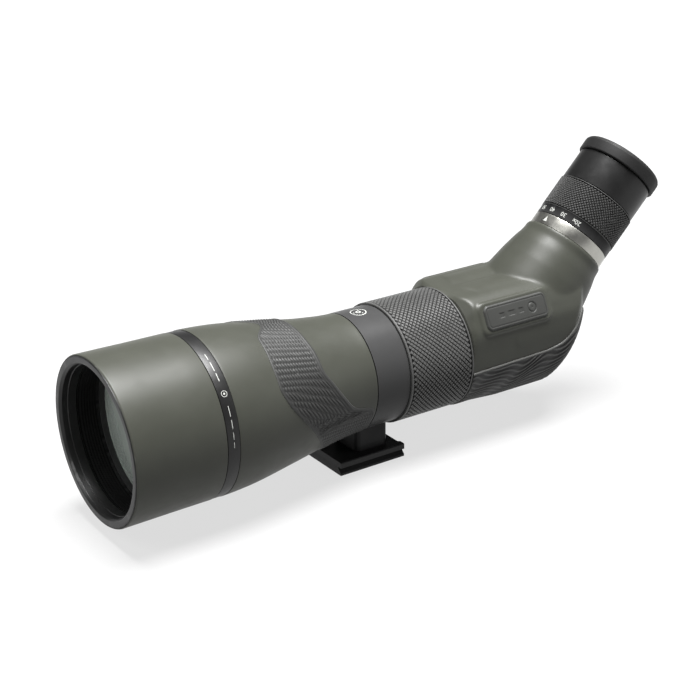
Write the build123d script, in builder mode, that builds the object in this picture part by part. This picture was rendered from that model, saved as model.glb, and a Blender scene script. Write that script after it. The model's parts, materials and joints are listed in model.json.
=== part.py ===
from build123d import *
from math import atan2, copysign, cos, degrees, radians, sin
import os

# Angled spotting scope with an 85 mm objective, a rotating tripod collar and a zoom eyepiece.
# Millimetres. X runs forward along the tube, Y to the scope's left, Z up.
# The origin is the tripod thread at the middle of the foot's underside.

os.makedirs("parts", exist_ok=True)

# ---- driving dimensions -------------------------------------------------------------------
AXIS_Z = 58.0  # height of the objective axis above the foot's underside
ELBOW_X = -120.6  # where the eyepiece axis crosses the objective axis
EYE_ANGLE = 45.0  # eyepiece axis above the horizontal

RUN = 0.06  # radial clearance of a turning or sliding fit
GAP = 0.3  # open seam between two pieces that move past each other
FIT = 0.02  # radial clearance of a glued or screwed fit

# stations along the objective axis
HOOD_FRONT = 174.0
MOUTH = 163.4  # front end of the objective tube
BAND_FRONT = 117.4
BAND_REAR = 109.6
COLLAR_FRONT = 8.0
COLLAR_REAR = -15.7
FOCUS_REAR = -62.8
HOUSING_FRONT = -63.1

# radii about the objective axis
HOOD_R = 50.0
BAND_R = 49.3
OBJECTIVE_TUBE_R = 47.2
CELL_BORE_R = 44.6
CLEAR_R = 42.5  # half of the 85 mm clear aperture
COLLAR_R = 36.5
GUIDE_R = 32.0  # outside of the guide tube that carries collar and focus ring
GUIDE_BORE_R = 29.0
FOCUS_R = 38.0

# focusing: two pins in a two-start helical groove
FOCUS_LEAD = 15.0  # mm of lens travel in one turn of the ring
FOCUS_TURN = 225.0  # degrees either side of the middle
FOCUS_TRAVEL = FOCUS_LEAD * FOCUS_TURN / 360
FOCUS_X = -39.2  # middle of the focusing lens's travel
FOCUS_PIN_R = 2.0

# stations and radii along the eyepiece axis, from the elbow
NECK_TOP = 64.0
INDEX_TOP = 72.0
ZOOM_TOP = 101.0
EYECUP_BOTTOM = ZOOM_TOP + GAP + 0.1
RIM_BOTTOM = 123.2
EYECUP_TOP = 132.8
NECK_R = 28.0
INDEX_R = 26.8
ZOOM_R = 27.0
EYECUP_R = 26.4
EYE_TUBE_R = 17.0  # fixed tube inside the zoom ring
EYE_BORE_R = 15.0

# zooming: two lens cells driven in opposite directions by one cam tube
ZOOM_TURN = 42.0  # degrees either side of 40x
ZOOM_CELLS = {"zoom_front": (79.0, 24.0), "zoom_rear": (93.0, -18.0)}  # station, mm per turn
ZOOM_PIN_ANGLES = {"zoom_front": (0, 180), "zoom_rear": (90, 270)}
ZOOM_CELL_LENGTH = 7.0
ZOOM_PIN_R = 1.25

# twist-up eyecup
LIFT = 12.0
LIFT_TURN = 150.0
LIFT_LEAD = LIFT * 360 / LIFT_TURN

# tripod foot
FOOT_LENGTH = 47.3
FOOT_WIDTH = 38.0
FOOT_HEIGHT = 8.6

# prism housing
HOUSING_R = 37.3
SHOULDER_TOP = 37.5  # flat top above the axis
WALL = 3.0

# ---- axes and planes ----------------------------------------------------------------------
# Section planes: local x runs along the turning axis, local y points up from it.
MAIN = Plane(origin=(0, 0, AXIS_Z), x_dir=(1, 0, 0), z_dir=(0, -1, 0))
EYE_DIR = Vector(-cos(radians(EYE_ANGLE)), 0, sin(radians(EYE_ANGLE)))
EYE = Plane(origin=(ELBOW_X, 0, AXIS_Z), x_dir=EYE_DIR, z_dir=(0, 1, 0))


def turned(plane, *corners):
    """Solid turned about a section plane's x axis; corners are (distance along it, radius)."""
    with BuildPart() as piece:
        with BuildSketch(plane):
            with BuildLine():
                Polyline(*corners, close=True)
            make_face()
        revolve(axis=Axis(plane.origin, plane.x_dir))
    return piece.part


def ring(plane, start, end, inner, outer):
    """Plain ring between two stations."""
    return turned(plane, (start, inner), (end, inner), (end, outer), (start, outer))


def spoke(plane, station, angle, start=0.0):
    """Plane whose normal points straight out from the axis, `start` mm away from it."""
    out = plane.y_dir * cos(radians(angle)) + plane.z_dir * sin(radians(angle))
    origin = plane.origin + plane.x_dir * station + out * start
    return Plane(origin=origin, x_dir=plane.x_dir, z_dir=out)


def across(plane, station):
    """Plane square to the axis, with x pointing up from it."""
    origin = plane.origin + plane.x_dir * station
    return Plane(origin=origin, x_dir=plane.y_dir, z_dir=plane.x_dir)


def helical_slot(plane, station, angle, lead, turn, inner, outer, width):
    """Cutter for a helical slot that passes `angle` at `station` and runs `turn` degrees
    either way. A negative lead is a left-hand helix."""
    height = abs(lead) * 2 * turn / 360
    with BuildPart() as cutter:
        with BuildLine() as route:
            Helix(abs(lead), height, (inner + outer) / 2, lefthand=lead < 0)
        with BuildSketch(Plane(route.line @ 0, x_dir=(1, 0, 0), z_dir=route.line % 0)):
            Rectangle(outer - inner, width)
        sweep(path=route.line, is_frenet=True)
    start = Rotation(0, 0, angle - copysign(turn, lead))
    return across(plane, station - height / 2).location * start * cutter.part


def surface_points(station, radius, sag):
    """Rim, middle and centre of a spherical lens surface."""
    sphere = (radius**2 + sag**2) / (2 * abs(sag))
    half = atan2(radius, sphere - abs(sag)) / 2
    middle = (station + sag - copysign(sphere * (1 - cos(half)), sag), sphere * sin(half))
    return (station, radius), middle, (station + sag, 0)


def lens(plane, rear, front, radius, rear_sag, front_sag):
    """Round glass element with a flat rim; a positive sag bulges outwards."""
    polished = radius * 0.95
    with BuildPart() as glass:
        with BuildSketch(plane):
            with BuildLine():
                Polyline((rear, polished), (rear, radius), (front, radius), (front, polished))
                ThreePointArc(*surface_points(front, polished, front_sag))
                Line((front + front_sag, 0), (rear - rear_sag, 0))
                ThreePointArc(*surface_points(rear, polished, -rear_sag))
            make_face()
        revolve(axis=Axis(plane.origin, plane.x_dir))
    return glass.part


def radial_pin(plane, station, angle, start, end, radius):
    """Pin that stands out from the axis between two radii."""
    with BuildPart(spoke(plane, station, angle, start)) as pin:
        Cylinder(radius, end - start, align=(Align.CENTER, Align.CENTER, Align.MIN))
    return pin.part


def straight_slot(plane, start, end, angle, inner, outer, width):
    """Cutter for a slot along the axis through a tube wall."""
    middle = (start + end) / 2
    with BuildPart(spoke(plane, middle, angle, inner)) as cutter:
        Box(end - start, width, outer - inner, align=(Align.CENTER, Align.CENTER, Align.MIN))
    return cutter.part


def save(piece, name):
    """Label a finished piece and write its STEP file."""
    piece.part.label = name
    export_step(piece.part, f"parts/{name}.step")


# ---- tripod collar: foot, ring and lock -----------------------------------------------------
LINER_R = 33.4
PILLAR_X = (COLLAR_FRONT + COLLAR_REAR) / 2
PILLAR_LENGTH = COLLAR_FRONT - COLLAR_REAR - 2 * GAP
PILLAR_WIDTH = 26.0
SCREW_PLACES = ((-10.5, -8), (-10.5, 8), (4.5, -8), (4.5, 8))
INSERT_R = 4.8
THREAD_R = 2.6  # minor radius of a 1/4-20 tripod thread
THREAD_DEPTH = 7.4
BOSS_FACE = 41.0  # lock boss, on the right-hand side
STUD_R = 3.0

collar_rear = COLLAR_REAR + GAP
collar_front = COLLAR_FRONT - GAP

with BuildPart() as tripod_foot:
    with BuildSketch(Plane.YZ.offset(-FOOT_LENGTH / 2)):
        with BuildLine():
            dovetail = Polyline(
                (0, 0),
                (FOOT_WIDTH / 2, 0),
                (FOOT_WIDTH / 2, 1.4),
                (FOOT_WIDTH / 2 - 3.2, 4.6),
                (FOOT_WIDTH / 2 - 3.2, 5.0),
                (FOOT_WIDTH / 2 + 0.2, 5.0),
                (FOOT_WIDTH / 2 + 0.2, FOOT_HEIGHT),
                (0, FOOT_HEIGHT),
            )
            mirror(dovetail, about=Plane.YZ)
        make_face()
    extrude(amount=FOOT_LENGTH)
    top_edges = edges().filter_by(Axis.X).group_by(Axis.Z)[-1]
    chamfer(top_edges, 0.5)
    with Locations((0, 0, 0)):
        Cylinder(INSERT_R, THREAD_DEPTH, align=(Align.CENTER, Align.CENTER, Align.MIN), mode=Mode.SUBTRACT)
    with Locations(*[(x, y, 0) for x, y in SCREW_PLACES]):
        Cylinder(2.1, 3 * FOOT_HEIGHT, mode=Mode.SUBTRACT)
        Cylinder(3.7, 4.2, align=(Align.CENTER, Align.CENTER, Align.MIN), mode=Mode.SUBTRACT)
    with BuildSketch(Plane.XY.offset(FOOT_HEIGHT - 1.2)):
        with Locations((-FOOT_LENGTH / 2 - 9, 0)):
            Circle(17.5)
        with Locations((-FOOT_LENGTH / 2 + 14, 0)):
            Rectangle(24, PILLAR_WIDTH + 1, mode=Mode.SUBTRACT)
    extrude(amount=3, mode=Mode.SUBTRACT)
save(tripod_foot, "tripod_foot")

with BuildPart() as foot_thread_insert:
    Cylinder(INSERT_R - FIT, THREAD_DEPTH, align=(Align.CENTER, Align.CENTER, Align.MIN))
    chamfer(edges().filter_by(GeomType.CIRCLE).sort_by(Axis.Z)[0], 0.2)
    Cylinder(THREAD_R, 3 * THREAD_DEPTH, mode=Mode.SUBTRACT)
save(foot_thread_insert, "foot_thread_insert")

with BuildPart() as foot_screws:
    with Locations(*[(x, y, 0.4) for x, y in SCREW_PLACES]):
        Cylinder(3.5, 3.8, align=(Align.CENTER, Align.CENTER, Align.MIN))
        Cylinder(1.98, 13.4, align=(Align.CENTER, Align.CENTER, Align.MIN))
    with BuildSketch(Plane.XY.offset(0.4)):
        with Locations(*SCREW_PLACES):
            RegularPolygon(1.73, 6)
    extrude(amount=2.2, mode=Mode.SUBTRACT)
save(foot_screws, "foot_screws")

lock_side = spoke(MAIN, PILLAR_X, 90)

with BuildPart() as collar_ring:
    add(ring(MAIN, collar_rear, collar_front, 20, COLLAR_R))
    with BuildSketch(Plane.XY.offset(FOOT_HEIGHT + FIT)):
        with Locations((PILLAR_X, 0)):
            RectangleRounded(PILLAR_LENGTH, PILLAR_WIDTH, 3)
    extrude(amount=AXIS_Z - FOOT_HEIGHT - LINER_R)
    with BuildSketch(lock_side.offset(COLLAR_R - 4)):
        Circle(9.0)
    extrude(amount=BOSS_FACE - COLLAR_R + 4)
    add(ring(MAIN, collar_rear - 1, collar_front + 1, 0, LINER_R), mode=Mode.SUBTRACT)
    with Locations(*[(x, y, FOOT_HEIGHT) for x, y in SCREW_PLACES]):
        Cylinder(2.0, 6.0, align=(Align.CENTER, Align.CENTER, Align.MIN), mode=Mode.SUBTRACT)
    with BuildSketch(lock_side):
        Circle(STUD_R + RUN)
    extrude(amount=BOSS_FACE + 2, mode=Mode.SUBTRACT)
save(collar_ring, "collar_ring")

with BuildPart() as collar_liner:
    add(ring(MAIN, collar_rear, collar_front, GUIDE_R + RUN, LINER_R - FIT))
    with BuildSketch(lock_side):
        Circle(4.2)
    extrude(amount=BOSS_FACE, mode=Mode.SUBTRACT)
save(collar_liner, "collar_liner")

with BuildPart() as lock_brake_pad:
    with BuildSketch(lock_side.offset(GUIDE_R - 2)):
        Circle(4.0)
    extrude(amount=LINER_R - GUIDE_R + 1.9)
    add(ring(MAIN, collar_rear - 1, collar_front + 1, 0, GUIDE_R + RUN), mode=Mode.SUBTRACT)
    with BuildSketch(lock_side.offset(LINER_R - 0.5)):
        Rectangle(20, 20)
    extrude(amount=5, mode=Mode.SUBTRACT)
save(lock_brake_pad, "lock_brake_pad")

KNOB_START = BOSS_FACE + GAP
KNOB_LENGTH = 14.0
with BuildPart() as lock_knob:
    with BuildSketch(lock_side.offset(KNOB_START)):
        Circle(11.0)
        with PolarLocations(11.8, 9):
            Circle(2.2, mode=Mode.SUBTRACT)
    extrude(amount=KNOB_LENGTH)
    chamfer(faces().sort_by(Axis.Y)[0].edges(), 0.6)
    with BuildSketch(lock_side.offset(KNOB_START)):
        Circle(STUD_R + FIT)
    extrude(amount=KNOB_LENGTH - 3, mode=Mode.SUBTRACT)
save(lock_knob, "lock_knob")

with BuildPart() as lock_screw:
    with BuildSketch(lock_side.offset(LINER_R + 0.1)):
        Circle(STUD_R)
    extrude(amount=KNOB_START + KNOB_LENGTH - 3.2 - LINER_R)
    chamfer(edges().filter_by(GeomType.CIRCLE), 0.3)
save(lock_screw, "lock_screw")

# ---- objective tube and barrel --------------------------------------------------------------
CELL_REAR = 112.0
CELL_FRONT = 151.5
HOOD_REAR = BAND_FRONT + GAP


def barrel_outline(offset=0.0, rear=COLLAR_FRONT + GAP, front=BAND_REAR):
    """Waisted outside line of the barrel, from the collar to the name band."""
    return Spline(
        (rear, COLLAR_R + offset),
        (28.8, 38.3 + offset),
        (60.8, 43.6 + offset),
        (92.8, 48.3 + offset),
        (front, BAND_R + offset),
        tangents=[(1, 0), (1, 0.02)],
    )


with BuildPart() as barrel_shell:
    with BuildSketch(MAIN):
        with BuildLine():
            waist = barrel_outline()
            Polyline(
                waist @ 1,
                (BAND_REAR, OBJECTIVE_TUBE_R),
                (MOUTH, OBJECTIVE_TUBE_R),
                (MOUTH, CELL_BORE_R + FIT),
                (CELL_REAR, CELL_BORE_R + FIT),
                (CELL_REAR, 43.2),
                (106.0, 43.2),
                (104.0, 46.0),
                (92.0, 45.6),
                (60.0, 40.9),
                (30.0, 36.0),
                (18.0, 34.4),
                (18.0, GUIDE_R + FIT),
                (COLLAR_FRONT + GAP, GUIDE_R + FIT),
                waist @ 0,
            )
        make_face()
    revolve(axis=Axis(MAIN.origin, MAIN.x_dir))
save(barrel_shell, "barrel_shell")

# The grip panel is a thin moulded skin whose outline slants back towards the collar below.
PANEL_THICKNESS = 0.7
with BuildPart() as barrel_grip_panel:
    with BuildSketch(MAIN):
        with BuildLine():
            inner_line = barrel_outline()
            outer_line = barrel_outline(PANEL_THICKNESS)
            Line(inner_line @ 0, outer_line @ 0)
            Line(inner_line @ 1, outer_line @ 1)
        make_face()
    revolve(axis=Axis(MAIN.origin, MAIN.x_dir))
    with BuildSketch(Plane.XZ.offset(-60)):
        with BuildLine():
            Polyline((36, 0), (50.1, 38.5), (67.7, 60.8), (74.9, 71.5))
            Spline((74.9, 71.5), (78.4, 82.0), (77.0, 95.0), (66.0, 104.5))
            Polyline((66.0, 104.5), (66.0, 112), (46.5, 112), (46.5, 97.0))
            Spline((46.5, 97.0), (44.4, 81.5), (39.2, 71.6), (25.4, 53.4))
            Polyline((25.4, 53.4), (20.0, 48.4), (COLLAR_FRONT + GAP, 46.8), (COLLAR_FRONT + GAP, 0))
            Line((COLLAR_FRONT + GAP, 0), (36, 0))
        make_face()
    extrude(amount=120, mode=Mode.INTERSECT)
save(barrel_grip_panel, "barrel_grip_panel")

with BuildPart() as name_band:
    add(ring(MAIN, BAND_REAR, BAND_FRONT, OBJECTIVE_TUBE_R + FIT, BAND_R))
    chamfer(edges().filter_by(GeomType.CIRCLE).sort_by(SortBy.RADIUS)[-2:], 0.25)
save(name_band, "name_band")

with BuildPart() as objective_cell:
    add(
        turned(
            MAIN,
            (CELL_REAR, 41.6),
            (CELL_REAR + 2, 41.6),
            (CELL_REAR + 2, 43.5),
            (CELL_FRONT, 43.5),
            (CELL_FRONT, CELL_BORE_R),
            (CELL_REAR, CELL_BORE_R),
        )
    )
save(objective_cell, "objective_cell")

ELEMENT_R = 43.45
with BuildPart() as objective_rear_element:
    add(lens(MAIN, 114.0, 120.0, ELEMENT_R, -2.0, 2.6))
save(objective_rear_element, "objective_rear_element")

with BuildPart() as objective_ed_element:
    add(lens(MAIN, 123.2, 130.2, ELEMENT_R, 0.4, 3.4))
save(objective_ed_element, "objective_ed_element")

with BuildPart() as objective_front_element:
    add(lens(MAIN, 138.0, 146.2, ELEMENT_R, -1.6, 3.2))
save(objective_front_element, "objective_front_element")

with BuildPart() as objective_spacers:
    add(ring(MAIN, 120.05, 123.15, 41.8, ELEMENT_R))
    add(ring(MAIN, 130.25, 137.95, 41.8, ELEMENT_R))
save(objective_spacers, "objective_spacers")

with BuildPart() as objective_retaining_ring:
    add(
        turned(
            MAIN,
            (146.25, CLEAR_R),
            (149.6, CLEAR_R + 0.3),
            (149.6, ELEMENT_R),
            (146.25, ELEMENT_R),
        )
    )
    for angle in (0, 180):
        add(straight_slot(MAIN, 148.6, 150.0, angle, CLEAR_R - 2, 46, 1.6), mode=Mode.SUBTRACT)
save(objective_retaining_ring, "objective_retaining_ring")

with BuildPart() as front_baffle:
    ridges = [(CELL_FRONT + 0.1, CLEAR_R + 0.9)]
    for index in range(6):
        start = CELL_FRONT + 1.1 + index * 1.7
        ridges += [(start, CLEAR_R + 0.4), (start + 1.1, CLEAR_R + 0.9)]
    add(turned(MAIN, *ridges, (MOUTH, CLEAR_R + 0.4), (MOUTH, CELL_BORE_R), (CELL_FRONT + 0.1, CELL_BORE_R)))
save(front_baffle, "front_baffle")

with BuildPart() as barrel_baffles:
    for station, outer, inner in ((88.0, 44.6, 37.5), (58.0, 40.3, 34.0)):
        add(turned(MAIN, (station, inner), (station + 6, outer - 4), (station + 6, outer), (station, outer)))
save(barrel_baffles, "barrel_baffles")

# ---- sliding sunshade -----------------------------------------------------------------------
HOOD_BORE_R = OBJECTIVE_TUBE_R + 0.55
with BuildPart() as sunshade_tube:
    add(
        turned(
            MAIN,
            (HOOD_REAR, HOOD_BORE_R),
            (HOOD_FRONT - 0.6, HOOD_BORE_R),
            (HOOD_FRONT - 0.6, HOOD_R - 0.5),
            (HOOD_FRONT - 1.6, HOOD_R),
            (143.0, 49.55),
            (HOOD_REAR, BAND_R),
        )
    )
save(sunshade_tube, "sunshade_tube")

with BuildPart() as sunshade_rim:
    add(
        turned(
            MAIN,
            (MOUTH + 0.5, 43.2),
            (HOOD_FRONT - 1.5, 43.9),
            (HOOD_FRONT, 45.0),
            (HOOD_FRONT, HOOD_BORE_R - 0.6),
            (HOOD_FRONT - 0.5, HOOD_BORE_R - FIT),
            (MOUTH + 0.5, HOOD_BORE_R - FIT),
        )
    )
save(sunshade_rim, "sunshade_rim")

with BuildPart() as sunshade_guide_band:
    add(ring(MAIN, HOOD_REAR + 1.5, HOOD_REAR + 7.5, OBJECTIVE_TUBE_R + RUN, HOOD_BORE_R - FIT))
save(sunshade_guide_band, "sunshade_guide_band")

# ---- guide tube, focus ring and focusing lens -----------------------------------------------
GUIDE_FRONT = 17.9
GUIDE_REAR = -66.9
SLOT_WIDTH = 2 * FOCUS_PIN_R + 0.2
SLOT_REACH = FOCUS_TRAVEL + FOCUS_PIN_R + 0.4
PIN_ANGLES = (0, 180)
GROOVE_R = 34.3
CORE_R = 35.7

focus_grooves = [
    helical_slot(MAIN, FOCUS_X, angle, -FOCUS_LEAD, FOCUS_TURN + 6, GUIDE_R - 1, GROOVE_R, SLOT_WIDTH)
    for angle in PIN_ANGLES
]

with BuildPart() as guide_tube:
    add(ring(MAIN, GUIDE_REAR, GUIDE_FRONT, GUIDE_BORE_R, GUIDE_R))
    for angle in PIN_ANGLES:
        slot = (FOCUS_X - SLOT_REACH, FOCUS_X + SLOT_REACH, angle, GUIDE_BORE_R - 2, GUIDE_R + 2, SLOT_WIDTH)
        add(straight_slot(MAIN, *slot), mode=Mode.SUBTRACT)
save(guide_tube, "guide_tube")

with BuildPart() as focus_ring_core:
    add(ring(MAIN, FOCUS_REAR, COLLAR_REAR - GAP, GUIDE_R + RUN, CORE_R))
    for groove in focus_grooves:
        add(groove, mode=Mode.SUBTRACT)
save(focus_ring_core, "focus_ring_core")

with BuildPart() as focus_ring_grip:
    add(
        turned(
            MAIN,
            (FOCUS_REAR, CORE_R + FIT),
            (COLLAR_REAR - GAP, CORE_R + FIT),
            (COLLAR_REAR - GAP, FOCUS_R - 1.0),
            (COLLAR_REAR - GAP - 0.8, FOCUS_R - 0.5),
            (FOCUS_REAR + 0.6, FOCUS_R),
            (FOCUS_REAR, FOCUS_R - 0.5),
        )
    )
save(focus_ring_grip, "focus_ring_grip")

with BuildPart() as focus_lens_cell:
    add(
        turned(
            MAIN,
            (FOCUS_X - 10, 24.0),
            (FOCUS_X - 8.5, 24.0),
            (FOCUS_X - 8.5, 26.5),
            (FOCUS_X + 10, 26.5),
            (FOCUS_X + 10, GUIDE_BORE_R - RUN),
            (FOCUS_X - 10, GUIDE_BORE_R - RUN),
        )
    )
    for angle in PIN_ANGLES:
        add(radial_pin(MAIN, FOCUS_X, angle, 25, 30, FOCUS_PIN_R + FIT), mode=Mode.SUBTRACT)
save(focus_lens_cell, "focus_lens_cell")

with BuildPart() as focus_lens:
    add(lens(MAIN, FOCUS_X - 8.4, FOCUS_X - 2.6, 26.4, -2.0, 3.0))
save(focus_lens, "focus_lens")

with BuildPart() as focus_lens_retainer:
    add(ring(MAIN, FOCUS_X + 2.6, FOCUS_X + 5.6, 24.2, 26.45))
    for angle in (90, 270):
        add(straight_slot(MAIN, FOCUS_X + 4.6, FOCUS_X + 6, angle, 20, 28, 1.4), mode=Mode.SUBTRACT)
save(focus_lens_retainer, "focus_lens_retainer")

with BuildPart() as focus_pins:
    for angle in PIN_ANGLES:
        add(radial_pin(MAIN, FOCUS_X, angle, 26.6, GROOVE_R - 0.25, FOCUS_PIN_R))
save(focus_pins, "focus_pins")

# ---- prism housing --------------------------------------------------------------------------
BELLY_X = -130.0
BELLY_Z = AXIS_Z + 5.0
BELLY_R = 42.5
NECK_PROFILE = ((18.0, 35.0), (28.0, 33.9), (40.0, 32.3), (51.0, 30.2), (58.0, 28.3))
FACET = ((37.5, 17.0), (29.0, 34.0))  # shoulder facet that carries a pad, (Y, Z from the axis)
FACET_ANGLE = degrees(atan2(FACET[0][0] - FACET[1][0], FACET[1][1] - FACET[0][1]))
LEDGE_R = 39.0  # the shoulders are bevelled back from this radius, behind the focus ring
LEDGE_DEPTH = 12.0
BULKHEAD_STEP = HOUSING_FRONT - 4.0
BULKHEAD_REAR = HOUSING_FRONT - 8.0
LIGHT_HOLE_R = 22.0
OPENING_R = 25.5  # where the eyepiece screws in


def shoulder_section(start, inset=0.0):
    """Round below the axis, with two flat shoulders and a flat top above it."""
    with BuildSketch(Plane(origin=(start, 0, AXIS_Z), x_dir=(0, 1, 0), z_dir=(1, 0, 0))) as section:
        with BuildLine():
            side = Polyline((HOUSING_R, 0), FACET[0], FACET[1], (22.0, SHOULDER_TOP), (0, SHOULDER_TOP))
            mirror(side, about=Plane.YZ)
            ThreePointArc((HOUSING_R, 0), (0, -HOUSING_R), (-HOUSING_R, 0))
        make_face()
        corners = section.vertices().filter_by(lambda v: v.Z > AXIS_Z + 10 and abs(v.Y) > 1)
        fillet(corners, 7.0)
        if inset:
            offset(amount=-inset)
    return section.sketch


def bevel(inset=0.0):
    """Solid of revolution that bevels the front of the shoulders at 45 degrees."""
    wide = LEDGE_R + LEDGE_DEPTH - inset
    start = HOUSING_FRONT + 1
    corners = ((start, 0), (start, LEDGE_R - inset - 1), (HOUSING_FRONT - LEDGE_DEPTH, wide))
    return turned(MAIN, *corners, (-260, wide), (-260, 0))


def housing_form(inset, front):
    """Outer form of the housing, or the cavity inside it when inset by the wall."""
    with BuildPart() as tube:
        extrude(shoulder_section(front, inset), amount=-(front - ELBOW_X))
        add(bevel(inset), mode=Mode.INTERSECT)
    with BuildPart() as belly:
        with Locations((BELLY_X, 0, BELLY_Z)):
            Sphere(BELLY_R - inset)
        extrude(shoulder_section(front, inset), amount=-150, mode=Mode.INTERSECT)
    with BuildPart() as form:
        add(tube.part)
        add(belly.part)
        neck_line = [(station, radius - inset) for station, radius in NECK_PROFILE]
        top = NECK_TOP + (1 if inset > 0 else 0)
        add(turned(EYE, (18.0, 0), *neck_line, (top, NECK_R - inset), (top, 0)))
    return form.part


pad_planes = {
    side: Plane(
        origin=(-98.0, sign * (FACET[0][0] + FACET[1][0]) / 2, AXIS_Z + (FACET[0][1] + FACET[1][1]) / 2),
        x_dir=(1, 0, 0),
        z_dir=(0, sign * cos(radians(FACET_ANGLE)), sin(radians(FACET_ANGLE))),
    )
    for side, sign in (("left", 1), ("right", -1))
}
PAD_LENGTH = 50.0
PAD_WIDTH = 17.0
PAD_RAISE = 1.6

outer_form = housing_form(0.0, HOUSING_FRONT)
cavity = housing_form(WALL, HOUSING_FRONT + 0.5)

with BuildPart() as prism_housing:
    add(outer_form)
    for plane in pad_planes.values():
        with BuildSketch(plane.offset(-3)):
            RectangleRounded(PAD_LENGTH + 6, PAD_WIDTH + 4, 5)
        extrude(amount=3 + 0.9, taper=12)
    add(cavity, mode=Mode.SUBTRACT)
    add(ring(EYE, NECK_TOP - 12, NECK_TOP + 2, 0, OPENING_R), mode=Mode.SUBTRACT)
    for plane in pad_planes.values():
        with BuildSketch(plane.offset(0.1)):
            RectangleRounded(PAD_LENGTH, PAD_WIDTH, 4)
        extrude(amount=4, mode=Mode.SUBTRACT)
save(prism_housing, "prism_housing")

for side, plane in pad_planes.items():
    with BuildPart() as side_pad:
        with BuildSketch(plane.offset(0.1 + FIT)):
            RectangleRounded(PAD_LENGTH - 0.3, PAD_WIDTH - 0.3, 3.9)
        extrude(amount=PAD_RAISE)
        chamfer(faces().sort_by(Axis(plane.origin, plane.z_dir))[-1].edges(), 0.5)
    save(side_pad, f"side_pad_{side}")

# Rubber boot over the underside and heel, outlined in side view.
ARMOUR_THICKNESS = 0.9
boot_r = HOUSING_R + ARMOUR_THICKNESS
with BuildPart() as heel:
    with Locations((BELLY_X, 0, BELLY_Z)):
        Sphere(BELLY_R + ARMOUR_THICKNESS)
    add(ring(MAIN, -200, HOUSING_FRONT, 0, boot_r), mode=Mode.INTERSECT)
neck_line = [(station, radius + ARMOUR_THICKNESS) for station, radius in NECK_PROFILE]
with BuildPart() as housing_armour:
    add(ring(MAIN, ELBOW_X, HOUSING_FRONT, 0, boot_r))
    add(heel.part)
    add(turned(EYE, (18.0, 0), *neck_line, (NECK_TOP, NECK_R + ARMOUR_THICKNESS), (NECK_TOP, 0)))
    with BuildSketch(Plane.XZ.offset(-60)):
        with BuildLine():
            Polyline((HOUSING_FRONT, 0), (HOUSING_FRONT, 51.8), (-121.2, 53.4))
            Spline(
                (-121.2, 53.4),
                (-133.7, 55.6),
                (-144.8, 66.5),
                (-153.0, 77.0),
                (-168.0, 84.0),
                tangents=[(-1, 0), (-1, 0.3)],
            )
            Polyline((-168.0, 84.0), (-195, 84), (-195, 0), (HOUSING_FRONT, 0))
        make_face()
    extrude(amount=120, mode=Mode.INTERSECT)
    add(outer_form, mode=Mode.SUBTRACT)
save(housing_armour, "housing_armour")

# A 45 degree roof prism: light enters its upright face and leaves square to the eyepiece.
PRISM_FACE = 46.0
PRISM_HALF = 20.0
PRISM_CUT = 6.0  # the sharp upper edge is ground flat for the clamp
PRISM_X = ELBOW_X + PRISM_FACE * (cos(radians(EYE_ANGLE)) - 0.5)
prism_top = Vector(PRISM_X, 0, AXIS_Z + PRISM_FACE / 2)
prism_heel = Vector(PRISM_X, 0, AXIS_Z - PRISM_FACE / 2)
prism_rear = prism_top - Vector(cos(radians(EYE_ANGLE)), 0, sin(radians(EYE_ANGLE))) * PRISM_FACE
clamp_z = prism_top.Z - PRISM_CUT
with BuildPart() as roof_prism:
    with BuildSketch(Plane.XZ.offset(-PRISM_HALF)):
        with BuildLine():
            Polyline(*[(p.X, p.Z) for p in (prism_top, prism_heel, prism_rear)], close=True)
        make_face()
    extrude(amount=2 * PRISM_HALF)
    with BuildSketch(Plane.XY.offset(clamp_z)):
        Rectangle(400, 100)
    extrude(amount=10, mode=Mode.SUBTRACT)
    roof_mid = (prism_heel + prism_rear) * 0.5
    roof_out = (roof_mid - prism_top).normalized()
    for sign in (1, -1):
        roof_face = Plane(origin=roof_mid, x_dir=prism_rear - prism_heel, z_dir=roof_out + Vector(0, sign, 0))
        with BuildSketch(roof_face):
            Rectangle(120, 120)
        extrude(amount=60, mode=Mode.SUBTRACT)
save(roof_prism, "roof_prism")

BRACKET_FRONT = BULKHEAD_REAR - 0.05
BRACKET_PLATE = 3.0
ARM_IN = PRISM_HALF + 0.1
ARM_OUT = ARM_IN + 2.5
STRAP = 0.8
ARM_REAR = -142.0
CLAMP_SCREW = (PRISM_X - 3, AXIS_Z + 6)
BRACKET_SCREWS = ((22, -15), (22, 15), (-22, -15), (-22, 15))

with BuildPart() as housing_bulkhead:
    extrude(shoulder_section(HOUSING_FRONT, WALL + 0.05), amount=BULKHEAD_REAR - HOUSING_FRONT)
    add(bevel(WALL + 0.05), mode=Mode.INTERSECT)
    add(ring(MAIN, BULKHEAD_STEP, HOUSING_FRONT + 1, 0, GUIDE_R + FIT), mode=Mode.SUBTRACT)
    add(ring(MAIN, BULKHEAD_REAR - 1, HOUSING_FRONT, 0, LIGHT_HOLE_R), mode=Mode.SUBTRACT)
    with Locations(across(MAIN, BULKHEAD_REAR)):
        with Locations(*BRACKET_SCREWS):
            Cylinder(1.52, 7.6, mode=Mode.SUBTRACT)
save(housing_bulkhead, "housing_bulkhead")

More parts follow.
